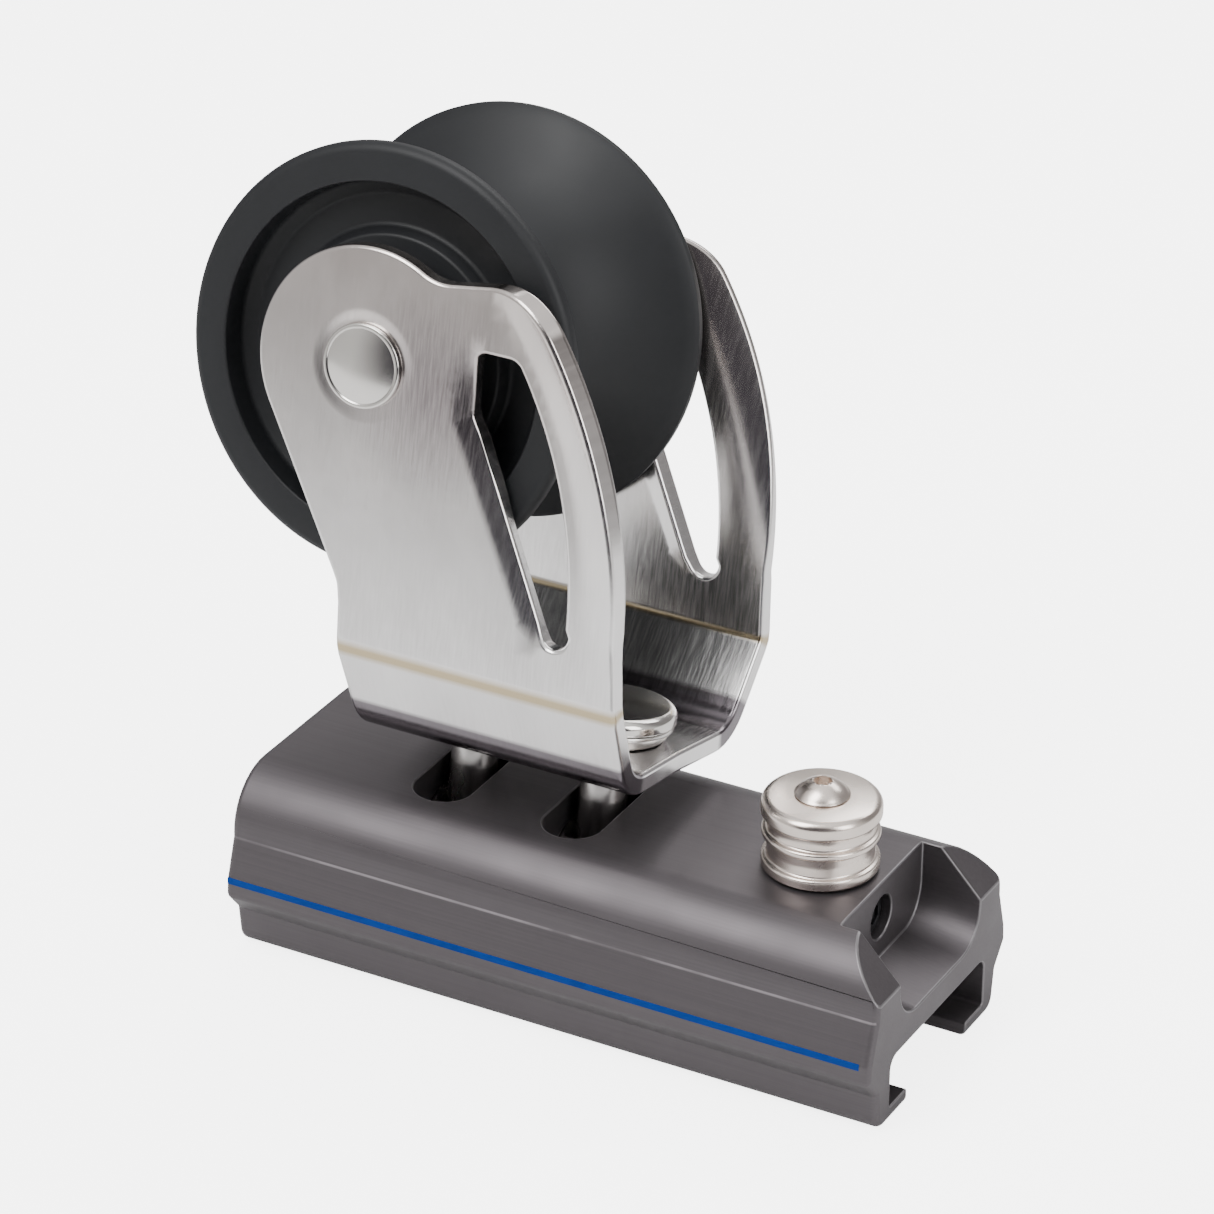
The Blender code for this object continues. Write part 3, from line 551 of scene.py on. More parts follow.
def strap_steel(name, colour, warm, roughness):
    """Polished sheet: soft smears, darker and warmer towards the lobes, painted shade (a dark reflection) beside
    each axle head, painted shade under the bends at its foot, and a straw-coloured line along each fold."""
    mat, tree, principled = shader(name, colour, roughness, 1.0)
    smears = noise(tree, 0.10, 4, 2.0, (1, 0.6, 1), "sheet")
    ripple = noise(tree, 0.35, 2, 5.0, uv="sheet")
    brushed = noise(tree, 0.9, 5, 8.0, (5, 0.3, 1), "sheet")
    source = tree.nodes.new("ShaderNodeUVMap")
    source.uv_map = "sheet"
    parts = tree.nodes.new("ShaderNodeSeparateXYZ")
    tree.links.new(source.outputs["UV"], parts.inputs["Vector"])
    away = maths(tree, "ABSOLUTE", parts.outputs["Y"])
    from_fold = maths(tree, "ABSOLUTE", maths(tree, "SUBTRACT", away, flat_s(FOLD_Z)))
    tint = remap(tree, from_fold, TINT_STRENGTH, 0.0, TINT_REACH)
    rise = remap(tree, away, 0.0, 1.0, (flat_s(WARM_Z[0]), flat_s(WARM_Z[1])))
    folded = tree.nodes.new("ShaderNodeCombineXYZ")
    tree.links.new(parts.outputs["X"], folded.inputs["X"])
    tree.links.new(away, folded.inputs["Y"])
    apart = tree.nodes.new("ShaderNodeVectorMath")
    apart.operation = "DISTANCE"
    apart.inputs[1].default_value = (PAINTED_SHADE_AT[0], flat_s(PAINTED_SHADE_AT[1]), 0)
    tree.links.new(folded.outputs[0], apart.inputs[0])
    # painted shade: the colour darkens round a point beside each axle head, a dark reflection painted in
    painted_shade = remap(tree, apart.outputs["Value"], PAINTED_SHADE_STRENGTH, 0.0, PAINTED_SHADE_RADII)
    low = ramp(tree, smears, [(0.35, shades(colour, 0.05)[0]), (0.65, shades(colour, 0.05)[1])])
    high = ramp(tree, smears, [(0.35, shades(warm, 0.14)[0]), (0.65, shades(warm, 0.08)[1])])
    # tones of the painted shade, grained along the brushing
    dark = ramp(tree, brushed, [(0.35, PAINTED_SHADE_DARK), (0.65, PAINTED_SHADE_LIGHT)])
    base = mix(tree, painted_shade, mix(tree, rise, low, high), dark)
    # painted shade: the colour darkens over the bends at the strap's foot
    bend_start, bend_end = PATH[1][0], PATH[2][0]
    in_bend = remap(tree, away, 0.0, 1.0, (bend_start, bend_start + 1))
    below_slant = remap(tree, away, 1.0, 0.0, (bend_end + 0.7, bend_end + 1.5))
    base = mix(tree, below_slant, base, mix(tree, in_bend, base, BEND_PAINTED_SHADE))
    tree.links.new(mix(tree, tint, base, STRAW), principled.inputs["Base Color"])
    tree.links.new(remap(tree, brushed, roughness * 0.8, roughness * 1.3), principled.inputs["Roughness"])
    bump(tree, principled, ripple, 0.25, 0.03)
    return mat


def acetal(name, colour, roughness, shine=0.5):
    """Moulded plastic with a fine satin grain."""
    mat, tree, principled = shader(name, colour, roughness, 0.0)
    principled.inputs["Specular IOR Level"].default_value = shine
    clouds = noise(tree, 70, 5, 1.0)
    dark, light = shades(colour, 0.10)
    tree.links.new(ramp(tree, clouds, [(0.3, dark), (0.7, light)]), principled.inputs["Base Color"])
    tree.links.new(remap(tree, clouds, roughness - 0.05, roughness + 0.06), principled.inputs["Roughness"])
    bump(tree, principled, noise(tree, 3000, 2, 3.0), 0.10, 0.03)
    return mat


def paint(name, colour):
    """Enamel line paint."""
    mat, tree, principled = shader(name, colour, 0.6, 0.0)
    principled.inputs["Specular IOR Level"].default_value = 0.1
    dark, light = shades(colour, 0.12)
    base = ramp(tree, noise(tree, 400, 3, 2.0), [(0.3, dark), (0.7, light)])
    tree.links.new(base, principled.inputs["Base Color"])
    return mat


# ---- slider

def body_section():
    """Outer outline of the slider across the track, closed along its underside."""
    right = [
        (*SKIRT_FOOT, 2.0),
        (*SKIRT_TOP, 0.5),
        (*WIDEST, 1.2),
        (*PANEL_FOOT, 1.0),
        (*PANEL_TOP, 0.5),
        (PANEL_TOP[0], DECK_Z, SHOULDER_RADIUS),
    ]
    return mirrored(right, 10)


def body_blank():
    """Slider before machining: its section along the track, rounded into both end faces."""
    outline = body_section()
    ways = inward(outline)
    turns = [math.radians(90) * k / END_STEPS for k in range(END_STEPS + 1)]
    setback = [(END_ROUND * (1 - math.cos(t)), END_ROUND * (1 - math.sin(t))) for t in turns]
    stations = [(BODY_LOW + back, inset) for back, inset in setback]
    stations += [(BODY_HIGH - back, inset) for back, inset in reversed(setback)]
    bm = bmesh.new()
    return skin(bm, [[bm.verts.new((x, *(Vector(p) + way * inset))) for p, way in zip(outline, ways)]
                     for x, inset in stations])


def slot_section():
    """T-slot outline, open below the lips."""
    right = [
        (LIP_TIP_HALF, SKIRT_FOOT[1] - PAST, 0),
        (LIP_TIP_HALF, LIP_TOP_Z, 0.3),
        (SLOT_HALF, LIP_TOP_Z, 0.5),
        (SLOT_HALF, 0, 1.6),
    ]
    return mirrored(right, 10)


def body_cutters():
    """Everything milled and drilled out of the slider."""
    yield prism(slot_section(), BODY_LOW - PAST, BODY_HIGH + PAST, "X")
    half, reach = DECK_SLOT_HALF
    for x in POST_X:
        outline = arc((x, reach - half), half, 0, 180, 32) + arc((x, half - reach), half, 180, 360, 32)
        yield prism(outline, DECK_SLOT_FLOOR_Z, DECK_Z + 5, "Z")
    depth = span("swivel_bar", 0)[1] + 1 - BODY_LOW + PAST
    bore = rounded([(0, 0, 0), (BAR_RADIUS + GAP, 0, 0), (BAR_RADIUS + GAP, depth, 0.4), (0, depth, 0)], 2)
    yield moved(lathe(bore, 64), shift(BODY_LOW - PAST, 0, PIVOT_Z) @ ALONG_X)
    outline = rounded([
        (-RECESS_HALF, RECESS_FLOOR_Z, RECESS_FILLET),
        (RECESS_HALF, RECESS_FLOOR_Z, RECESS_FILLET),
        (RECESS_HALF, DECK_Z + 5, 0),
        (-RECESS_HALF, DECK_Z + 5, 0),
    ], 12)
    end = BODY_HIGH + PAST
    space = prism(outline, RECESS_WALL_X, end, "X")
    fall = RECESS_FALL * (end - RECESS_WALL_X) / (BODY_HIGH - RECESS_WALL_X)
    for vert in space.verts:
        if vert.co.x > RECESS_WALL_X + 1:
            vert.co.z -= fall
    yield space
    slope = (DECK_Z - CHEEK_END_Z) / (BODY_HIGH - CHEEK_CHAMFER_X)
    wedge = [
        (CHEEK_CHAMFER_X - PAST, DECK_Z + PAST * slope),
        (BODY_HIGH + PAST, CHEEK_END_Z - PAST * slope),
        (BODY_HIGH + PAST, DECK_Z + PAST * slope),
    ]
    yield prism(wedge, -30, 30, "Y")
    yield moved(lathe(rod(SLEEVE_RADIUS + GAP, SLEEVE_FLOOR_Z, 20), 64), AT_PLUNGER)
    yield moved(lathe(rod(radius_of("plunger_pin") + GAP, -PAST, 4), 72), AT_PLUNGER)
    yield moved(lathe(rod(GRUB_RADIUS, 0, 14), 48), shift(PLUNGER_X + 4, 0, GRUB_Z) @ ALONG_X)


def make_slider(metal, edge):
    """Slider with broad rounds at its ends and narrow ones on its machined edges."""
    body = solid("car_body_look", body_blank(), [metal, edge])
    carve(body, body_cutters())
    soften(body, EDGE_ROUND, 3, 1)
    dress(body, "car_body")


def make_stripes(enamel):
    """Painted line along each side panel; it stops short of the plunger end."""
    low, high = STRIPE_Z
    for name, side in (("near", -1), ("far", 1)):
        face = PANEL_FOOT[0] + 0.04
        corners = [(STRIPE_FLOOR, low, 0.02), (face + 0.03, low, 0.04), (face, high, 0.04),
                   (STRIPE_FLOOR, high, 0.02)]
        outline = [(side * y, z) for y, z in rounded(corners, 3)]
        stripe = solid(f"stripe_{name}_look", prism(outline, BODY_LOW + 0.35, STRIPE_END_X, "X"), [enamel])
        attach(stripe, "car")


# ---- small parts of the slider

def make_bar_plug(metal):
    """Plug at the -X end of the bar's bore, with a hexagon socket."""
    low, high = span("bar_plug", 0)
    length = high - low
    place = shift(low, 0, PIVOT_Z) @ ALONG_X
    profile = rounded([(0, 0, 0), (BAR_RADIUS, 0, 0.5), (BAR_RADIUS, length, 0.4), (0, length, 0)], 4)
    plug = solid("bar_plug_look", moved(lathe(profile, 64), place), [metal])
    carve(plug, [moved(hexagon(3.2, -1, 2.2), place)])
    soften(plug, 0.08)
    dress(plug, "bar_plug")


def make_grub_screw(metal):
    """Socket screw deep in the recess wall's hole."""
    low, high = span("sleeve_grub_screw", 0)
    radius = GRUB_RADIUS - GAP
    place = shift(low, 0, GRUB_Z) @ ALONG_X
    profile = rounded([(0, 0, 0), (radius, 0, 0.2), (radius, high - low, 0.3), (0, high - low, 0)], 3)
    screw = solid("sleeve_grub_screw_look", moved(lathe(profile, 48), place), [metal])
    carve(screw, [moved(hexagon(2.4, 0.5, 3), place)])
    soften(screw, 0.06)
    dress(screw, "sleeve_grub_screw")


# ---- plunger

def knob_profile():
    """Pull knob: a thin foot ring, a thin middle ring and a broad crown, bored for its screw."""
    base, top, outer = KNOB_BASE_Z, KNOB_TOP_Z, KNOB_RADIUS
    ring, waist = outer - 0.15, KNOB_WAIST
    side = [(ring - 0.3, base, 0), (ring, base + 0.05, 0.35), (ring, base + 1.3, 0.35),
            (waist, base + 1.55, 0.35), (waist - 0.1, base + 2.8, 3.0), (waist, base + 3.95, 0.35),
            (ring, base + 4.2, 0.35), (ring, base + 4.9, 0.35), (waist, base + 5.15, 0.35),
            (waist - 0.1, base + 5.9, 2.0), (waist, base + 6.65, 0.35), (outer, base + 6.95, 0.5),
            (outer, top - 0.25, 1.1), (3.4, top, 0)]
    bore = [(1.8, top, 0), (1.8, top - 1.6, 0), (2.8, top - 1.6, 0), (2.8, base, 0)]
    return rounded(side + bore, 7)


def make_knob(metal):
    """Pull knob over the pin."""
    turned_piece("plunger_knob", knob_profile(), 96, metal, AT_PLUNGER)


def make_knob_screw(metal):
    """Button-head screw with a hexagon socket."""
    low, high = span("knob_screw", 2)
    under = KNOB_TOP_Z + 0.05
    head_radius = 3.4
    rise = high - under
    sphere = (head_radius ** 2 + rise ** 2) / (2 * rise)
    edge_angle = math.degrees(math.asin(head_radius / sphere))
    profile = [(0, low), (1.4, low), (1.4, under), (head_radius - 0.1, under), (head_radius, under + 0.12)]
    profile += arc((0, high - sphere), sphere, 90 - edge_angle + 4, 90, 14)
    screw = solid("knob_screw_look", moved(lathe(profile, 64), AT_PLUNGER), [metal])
    socket = hexagon(2.1, high - 1.6, high + 1)
    carve(screw, [moved(socket, AT_PLUNGER @ Matrix.Rotation(0.35, 4, "Z"))])
    soften(screw, 0.07)
    dress(screw, "knob_screw")


def make_spring(metal):
    """Coil that stands on the pin's shoulder below the sleeve cap, built at one length."""
    low, high = span("plunger_spring", 2)
    radius = radius_of("plunger_spring") - SPRING_WIRE
    low, high = low + SPRING_WIRE, high - SPRING_WIRE
    steps, sides = SPRING_TURNS * 32, 12
    bm = bmesh.new()
    rings = []
    for k in range(steps + 1):
        angle = 2 * math.pi * SPRING_TURNS * k / steps
        spoke = Vector((math.cos(angle), math.sin(angle), 0))
        centre = spoke * radius + UP * (low + (high - low) * k / steps)
        ring = []
        for i in range(sides):
            around = 2 * math.pi * i / sides
            way = spoke * math.cos(around) + UP * math.sin(around)
            ring.append(bm.verts.new(centre + way * SPRING_WIRE))
        rings.append(ring)
    coil = moved(skin(bm, rings), AT_PLUNGER)
    spring = dress(solid("plunger_spring_look", coil, [metal]), "plunger_spring")
    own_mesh(spring)


# ---- bail strap

def walk(point, heading, curvature, run):
    """Point reached after a run along a line or an arc."""
    if curvature == 0:
        return point + Vector((math.cos(heading), math.sin(heading))) * run
    turned = heading + curvature * run
    step = Vector((math.sin(turned) - math.sin(heading), math.cos(heading) - math.cos(turned)))
    return point + step / curvature


def strap_path():
    """Half of the strap's middle line as (start length, start point, heading, curvature)."""
    taper = math.atan2(FOLD_Z - BASE_MID_Z, CHEEK_MID - BASE_CORNER[0])
    lean_in = math.radians(90) - taper
    corner = BASE_CORNER[1]
    slant = math.hypot(FOLD_Z - BASE_MID_Z, CHEEK_MID - BASE_CORNER[0])
    slant -= corner * math.tan(taper / 2) + FOLD_RADIUS * math.tan(lean_in / 2)
    runs = [(BASE_CORNER[0] - corner * math.tan(taper / 2), 0), (corner * taper, 1 / corner), (slant, 0),
            (FOLD_RADIUS * lean_in, 1 / FOLD_RADIUS), (100.0, 0)]
    path = []
    length, point, heading = 0.0, Vector((0.0, BASE_MID_Z)), 0.0
    for run, curvature in runs:
        path.append((length, point.copy(), heading, curvature))
        point = walk(point, heading, curvature, run)
        heading += curvature * run
        length += run
    return path


PATH = strap_path()
CHEEK_START = PATH[-1][0]
CHEEK_START_Z = PATH[-1][1][1]


def flat_s(z):
    """Length along the strap of a height z on the straight cheek."""
    return CHEEK_START + z - CHEEK_START_Z


def limited(value):
    """Value kept between 0 and 1."""
    return min(max(value, 0.0), 1.0)


def ease(share):
    """Smooth step from 0 to 1."""
    return share * share * (3 - 2 * share)


def flare(x, z):
    """Outward push of the flared front edge."""
    if z > EDGE_CENTRE[1]:
        inboard = EDGE_RADIUS - math.hypot(x - EDGE_CENTRE[0], z - EDGE_CENTRE[1])
    else:
        inboard = EDGE_CENTRE[0] + EDGE_RADIUS - x
    grow = limited((z - FLARE_Z[0]) / (FLARE_Z[1] - FLARE_Z[0]))
    roll = max(1 - max(inboard, 0.0) / FLARE_WIDTH, 0.0)
    return FLARE * ease(grow) * roll * roll


def dimple(x, z):
    """Inward set of the sheet round the riveted axle head."""
    near, far = DIMPLE_RADII
    return DIMPLE_DEPTH * ease(limited((far - math.hypot(x - AXLE_X, z - AXLE_Z)) / (far - near)))


def window_back():
    """Start, direction and length of the straight back edge of the window."""
    start = Vector((WINDOW_BACK_X, WINDOW_KNEE_Z))
    run = Vector((WINDOW_FOOT[0] - WINDOW_FOOT[2], WINDOW_FOOT[1])) - start
    return start, run.normalized(), run.length


def window_roll(x, z):
    """Inward lean of the sheet along the back edge of the window."""
    start, way, length = window_back()
    offset = Vector((x, z)) - start
    along = offset.dot(way)
    behind = WINDOW_BACK_X - x if along < 0 else offset[1] * -way[0] + offset[0] * way[1]
    behind = abs(behind) if behind > -1 else -1.0
    inner = ROLL_WIDTH - behind
    if inner <= 0 or behind < 0:
        return 0.0
    depth = inner * inner / (2 * ROLL_SOFT) if inner < ROLL_SOFT else inner - ROLL_SOFT / 2
    return ROLL_SLOPE * depth * ease(limited((along + 9) / 6) * limited((length + 2 - along) / 3))


def strap_point(x, s):
    """Folded place of a point of the flat strap."""
    side = -1 if s < 0 else 1
    length = abs(s)
    start, origin, heading, curvature = [piece for piece in PATH if piece[0] <= length][-1]
    point = walk(origin, heading, curvature, length - start)
    push = 0.0
    if length > CHEEK_START - 1:
        push = flare(x, point[1]) - dimple(x, point[1]) - window_roll(x, point[1])
    return Vector((x, side * (point[0] + push), point[1]))


def strap_axes(x, s):
    """Outward direction of the folded strap, and its two in-plane directions."""
    step = 0.05
    across = (strap_point(x + step, s) - strap_point(x - step, s)) / (2 * step)
    along = (strap_point(x, s + step) - strap_point(x, s - step)) / (2 * step)
    return along.cross(across).normalized(), across, along


def cheek_outline():
    """Flat outline of one cheek, from the foot of its front edge round to its back knee."""
    axle = Vector((AXLE_X, AXLE_Z))
    edge = Vector(EDGE_CENTRE)
    top_point = Vector(TOP_EDGE_POINT)
    top_way = Vector((math.cos(TOP_EDGE_SLOPE), math.sin(TOP_EDGE_SLOPE)))
    top_up = Vector((-top_way[1], top_way[0]))
    corner = line_circle(top_point - top_up * EDGE_CORNER_RADIUS, top_way, edge,
                         EDGE_RADIUS - EDGE_CORNER_RADIUS, 1)
    neck = line_circle(top_point + top_up * NECK_RADIUS, top_way, axle, LOBE_RADIUS + NECK_RADIUS, 1)
    up = 90 + math.degrees(TOP_EDGE_SLOPE)
    lobe_start = bearing(axle, neck)
    lobe_end = 180 + math.degrees(BACK_EDGE_SLOPE)
    points = arc(edge, EDGE_RADIUS, 0, bearing(edge, corner), 40)
    points += arc(corner, EDGE_CORNER_RADIUS, bearing(edge, corner), up, 16)[1:]
    points += arc(neck, NECK_RADIUS, up + 180, lobe_start + 180, 10)
    points += arc(axle, LOBE_RADIUS, lobe_start, lobe_end, 56)[1:]
    tangent = Vector(points[-1])
    knee_x = tangent[0] + (tangent[1] - BACK_KNEE_Z) * math.tan(BACK_EDGE_SLOPE)
    points += spread(points[-1], (knee_x - 0.8, BACK_KNEE_Z + 1.5), 14)[1:]
    knee = rounded([(knee_x - 0.8, BACK_KNEE_Z + 1.5, 0), (knee_x, BACK_KNEE_Z, 3.5),
                    (knee_x + 0.4, BACK_KNEE_Z - 2.4, 0)], 8, closed=False)
    return [(x, flat_s(z)) for x, z in points + knee[1:]]


def strap_outline():
    """Whole flat outline of the bail, both cheeks."""
    half = cheek_outline()
    fold_s = flat_s(FOLD_Z)
    front = spread((FRONT_BASE_X, 0), (FRONT_FOLD_X, fold_s), 24)[:-1]
    front += spread((FRONT_FOLD_X, fold_s), half[0], 8)[:-1]
    back = spread(half[-1], (BACK_FOLD_X, fold_s), 6)[1:]
    back += spread((BACK_FOLD_X, fold_s), (BACK_BASE_X, 0), 24)[1:]
    upper = front + half + back
    lower = [(x, -s) for x, s in reversed(upper[1:-1])]
    return upper + lower


def window_outline():
    """Long window of a cheek, concentric with the front edge."""
    edge = Vector(EDGE_CENTRE)
    radius = WINDOW_EDGE_RADIUS
    foot_x, foot_z, foot_radius = WINDOW_FOOT
    foot_way = Vector((foot_x - WINDOW_BACK_X, foot_z - WINDOW_KNEE_Z)).normalized()
    left = math.degrees(math.atan2(-foot_way[0], foot_way[1])) + 360
    corner_radius = WINDOW_CORNER_RADIUS
    level = Vector((WINDOW_BACK_X, WINDOW_TOP_Z - corner_radius))
    top_corner = line_circle(level, Vector((1.0, 0.0)), edge, radius - corner_radius, 1)
    points = arc((foot_x, foot_z), foot_radius, left - 360, bearing(edge, (foot_x, foot_z)), 16)
    points += arc(edge, radius, bearing(edge, (foot_x, foot_z)) + 1, bearing(edge, top_corner), 28)
    points += arc(top_corner, corner_radius, bearing(edge, top_corner) + 8, 90, 8)
    points += arc((WINDOW_BACK_X + 1.2, WINDOW_TOP_Z - 1.2), 1.2, 90, 180, 7)
    knee = rounded([(WINDOW_BACK_X, WINDOW_KNEE_Z + 2.5, 0), (WINDOW_BACK_X, WINDOW_KNEE_Z, 2.5),
                    (WINDOW_BACK_X + foot_way[0] * 3, WINDOW_KNEE_Z + foot_way[1] * 3, 0)], 6, closed=False)
    points += knee
    points += spread(knee[-1], Vector(points[0]) - foot_way * 1.5, 14)[1:]
    return [(x, flat_s(z)) for x, z in points]


def circle(x, s, radius, steps=48):
    """Round hole in the flat strap."""
    return arc((x, s), radius, 0, 360, steps)[:-1]


def strap_loops():
    """Outline and every hole of the flat strap; the material is on each loop's left."""
    window = window_outline()
    axle_s = flat_s(AXLE_Z)
    mirror_window = [(x, -s) for x, s in reversed(window)]
    holes = [window, mirror_window]
    holes += [circle(AXLE_X, side * axle_s, AXLE_RADIUS + GAP) for side in (1, -1)]
    holes += [circle(x, 0, STUD_RADIUS + GAP) for x in POST_X]
    return [strap_outline()] + [list(reversed(hole)) for hole in holes]


def inward(loop):
    """Unit direction into the material at each point of a loop."""
    ways = []
    count = len(loop)
    for i in range(count):
        before = (Vector(loop[i]) - Vector(loop[i - 1])).normalized()
        after = (Vector(loop[(i + 1) % count]) - Vector(loop[i])).normalized()
        tangent = (before + after).normalized()
        ways.append(Vector((-tangent[1], tangent[0])))
    return ways


def inside(point, loop):
    """Whether a point lies within a closed outline."""
    x, y = point
    hit = False
    for (ax, ay), (bx, by) in zip(loop, loop[1:] + loop[:1]):
        if (ay > y) != (by > y) and x < ax + (y - ay) / (by - ay) * (bx - ax):
            hit = not hit
    return hit


def strap_seeds(loops):
    """Inner points of the flat strap, close together at bends and at the flare."""
    rows = [0.0, 3.0]
    for (start, _, _, curvature), (end, *_) in zip(PATH[1:], PATH[2:]):
        steps = 8 if curvature else 3
        rows += [start + (end - start) * k / steps for k in range(steps)]
    rows += [CHEEK_START + 1.7 * k for k in range(34)]
    seeds = []
    for s in sorted(set(rows + [-r for r in rows])):
        z = abs(s) - CHEEK_START + CHEEK_START_Z
        rise = max(z - EDGE_CENTRE[1], 0)
        edge_x = EDGE_CENTRE[0] + math.sqrt(EDGE_RADIUS ** 2 - rise ** 2)
        columns = [edge_x - 0.65 * k - 1.0 for k in range(9)] if z > FLARE_Z[0] - 4 else []
        columns += [AXLE_X - 14 + 2.5 * k for k in range(17)]
        seeds += [(x, s) for x in columns if math.hypot(x - AXLE_X, z - AXLE_Z) > DIMPLE_RADII[1] + 0.8]
    for side in (1, -1):
        for k in range(8):
            radius = DIMPLE_RADII[0] - 0.35 + 0.35 * k
            seeds += circle(AXLE_X, side * flat_s(AXLE_Z), radius, 56)
        start, way, length = window_back()
        aside = Vector((way[1], -way[0]))
        for k in range(7):
            for step in range(30):
                place = start + way * (length * step / 28 - 3) + aside * (1.15 + 0.45 * k)
                seeds.append((place[0], side * flat_s(place[1])))
    border = [Vector(p) for loop in loops for p in loop]
    return [p for p in seeds if inside(p, loops[0]) and not any(inside(p, hole) for hole in loops[1:])
            and min((Vector(p) - q).length_squared for q in border) > 0.4]


def make_strap(metal):
    """Strap cut flat with its holes, folded, flared, thickened and rounded along every edge."""
    loops = strap_loops()
    inner_loops = []
    for loop in loops:
        inner_loops.append([tuple(Vector(p) + way * SHEET_ROUND) for p, way in zip(loop, inward(loop))])
    points, edges = [], []
    for loop in inner_loops:
        first = len(points)
        points += [Vector(p) for p in loop]
        edges += [(first + i, first + (i + 1) % len(loop)) for i in range(len(loop))]
    points += [Vector(p) for p in strap_seeds(inner_loops)]
    flat, _, faces, *_ = delaunay_2d_cdt(points, edges, [], 0, 1e-5)
    kept = []
    for face in faces:
        centre = sum((flat[i] for i in face), Vector((0, 0))) / len(face)
        if inside(centre, inner_loops[0]) and not any(inside(centre, hole) for hole in inner_loops[1:]):
            kept.append(face)
    bm = bmesh.new()
    uv = bm.loops.layers.uv.new("sheet")
    normals, flat_of = [], {}

    def vertex(x, s, height, way):
        """Point at a height off the middle sheet, its normal leaning from outward to in-plane."""
        normal, across, along = strap_axes(x, s)
        vert = bm.verts.new(strap_point(x, s) + normal * height)
        turn, (wx, ws) = way
        plane = across * wx + along * ws
        plane = plane.normalized() if plane.length > 0 else normal
        normals.append((normal * math.sin(turn) + plane * math.cos(turn)).normalized())
        flat_of[vert] = (x, s)
        return vert

    half = SHEET / 2
    flat_way = (0.0, 0.0)
    top = [vertex(*v, half, (math.pi / 2, flat_way)) for v in flat]
    low = [vertex(*v, -half, (-math.pi / 2, flat_way)) for v in flat]
    made = []
    for face in kept:
        made.append(bm.faces.new([top[i] for i in reversed(face)]))
        made.append(bm.faces.new([low[i] for i in face]))
    steps = 5
    turns = [math.pi / 2 * (1 - k / steps) for k in range(1, steps + 1)]
    first = 0
    for loop in loops:
        rings = [[top[first + i] for i in range(len(loop))]]
        for sign, order in ((1, turns), (-1, [-t for t in reversed(turns)])):
            for turn in order:
                reach = SHEET_ROUND * (1 - math.cos(abs(turn)))
                height = sign * (half - SHEET_ROUND + SHEET_ROUND * math.sin(abs(turn)))
                ring = []
                for p, way in zip(loop, inward(loop)):
                    place = Vector(p) + way * reach
                    ring.append(vertex(place[0], place[1], height, (turn, (-way[0], -way[1]))))
                rings.append(ring)
        rings.append([low[first + i] for i in range(len(loop))])
        for upper, lower in zip(rings, rings[1:]):
            for i in range(len(loop)):
                j = (i + 1) % len(loop)
                made.append(bm.faces.new((upper[i], upper[j], lower[j], lower[i])))
        first += len(loop)
    for face in made:
        for corner in face.loops:
            corner[uv].uv = flat_of[corner.vert]
    dress(finish_strap(bm, normals, metal), "bail")


def finish_strap(bm, normals, metal):
    """Strap object with its exact normals."""
    bm.verts.index_update()
    kept_normals = [normals[v.index] for v in bm.verts if v.link_faces]
    bmesh.ops.delete(bm, geom=[v for v in bm.verts if not v.link_faces], context="VERTS")
    turn = LEAN.to_3x3()
    bmesh.ops.transform(bm, matrix=Matrix.Scale(MM, 4) @ LEAN, verts=bm.verts)
    mesh = bpy.data.meshes.new("bail_look")
    bm.to_mesh(mesh)
    bm.free()
    obj = bpy.data.objects.new("bail_look", mesh)
    bpy.context.collection.objects.link(obj)
    mesh.materials.append(metal)
    mesh.shade_smooth()
    mesh.normals_split_custom_set_from_vertices([turn @ n for n in kept_normals])
    return obj


# ---- posts

def make_posts(metal, head_metal):
    """Shouldered posts with their washers and low round nuts."""
    strap_low, strap_high = BASE_MID_Z - SHEET / 2, BASE_MID_Z + SHEET / 2
    foot, shoulder = PIVOT_Z - 1.1, PIVOT_Z + BAR_RADIUS - 1.0 + GAP
    stud_top = strap_high + 2.7
    inner = STUD_RADIUS + GAP
    stem = rounded([(0, foot, 0), (STUD_RADIUS, foot, 0.3), (STUD_RADIUS, shoulder, 0),
                    (POST_RADIUS, shoulder, 0.2), (POST_RADIUS, strap_low - GAP, 0.2),
                    (STUD_RADIUS, strap_low - GAP, 0), (STUD_RADIUS, stud_top, 0.2), (0, stud_top, 0)], 4)
    low = strap_high + 0.15
    washer = rounded([(inner, low, 0.1), (6.6, low, 0.3), (7.7, low + 1.5, 0.4), (7.6, low + 1.9, 0.1),
                      (inner, low + 1.9, 0.1)], 5)
    low = strap_high + 2.2
    nut = rounded([(inner, low, 0.1), (7.9, low, 0.25), (7.9, low + 2.0, 1.1), (0, low + 2.0, 0),
                   (0, low + 1.2, 0), (inner, low + 1.2, 0)], 8)
    for number, x in enumerate(POST_X, 1):
        turned_piece(f"post_{number}", stem, 64, metal, shift(x, 0, 0), LEAN)
        turned_piece(f"post_washer_{number}", washer, 96, metal, shift(x, 0, 0), LEAN)
        turned_piece(f"post_nut_{number}", nut, 96, head_metal, shift(x, 0, 0), LEAN)


# ---- roller and axle

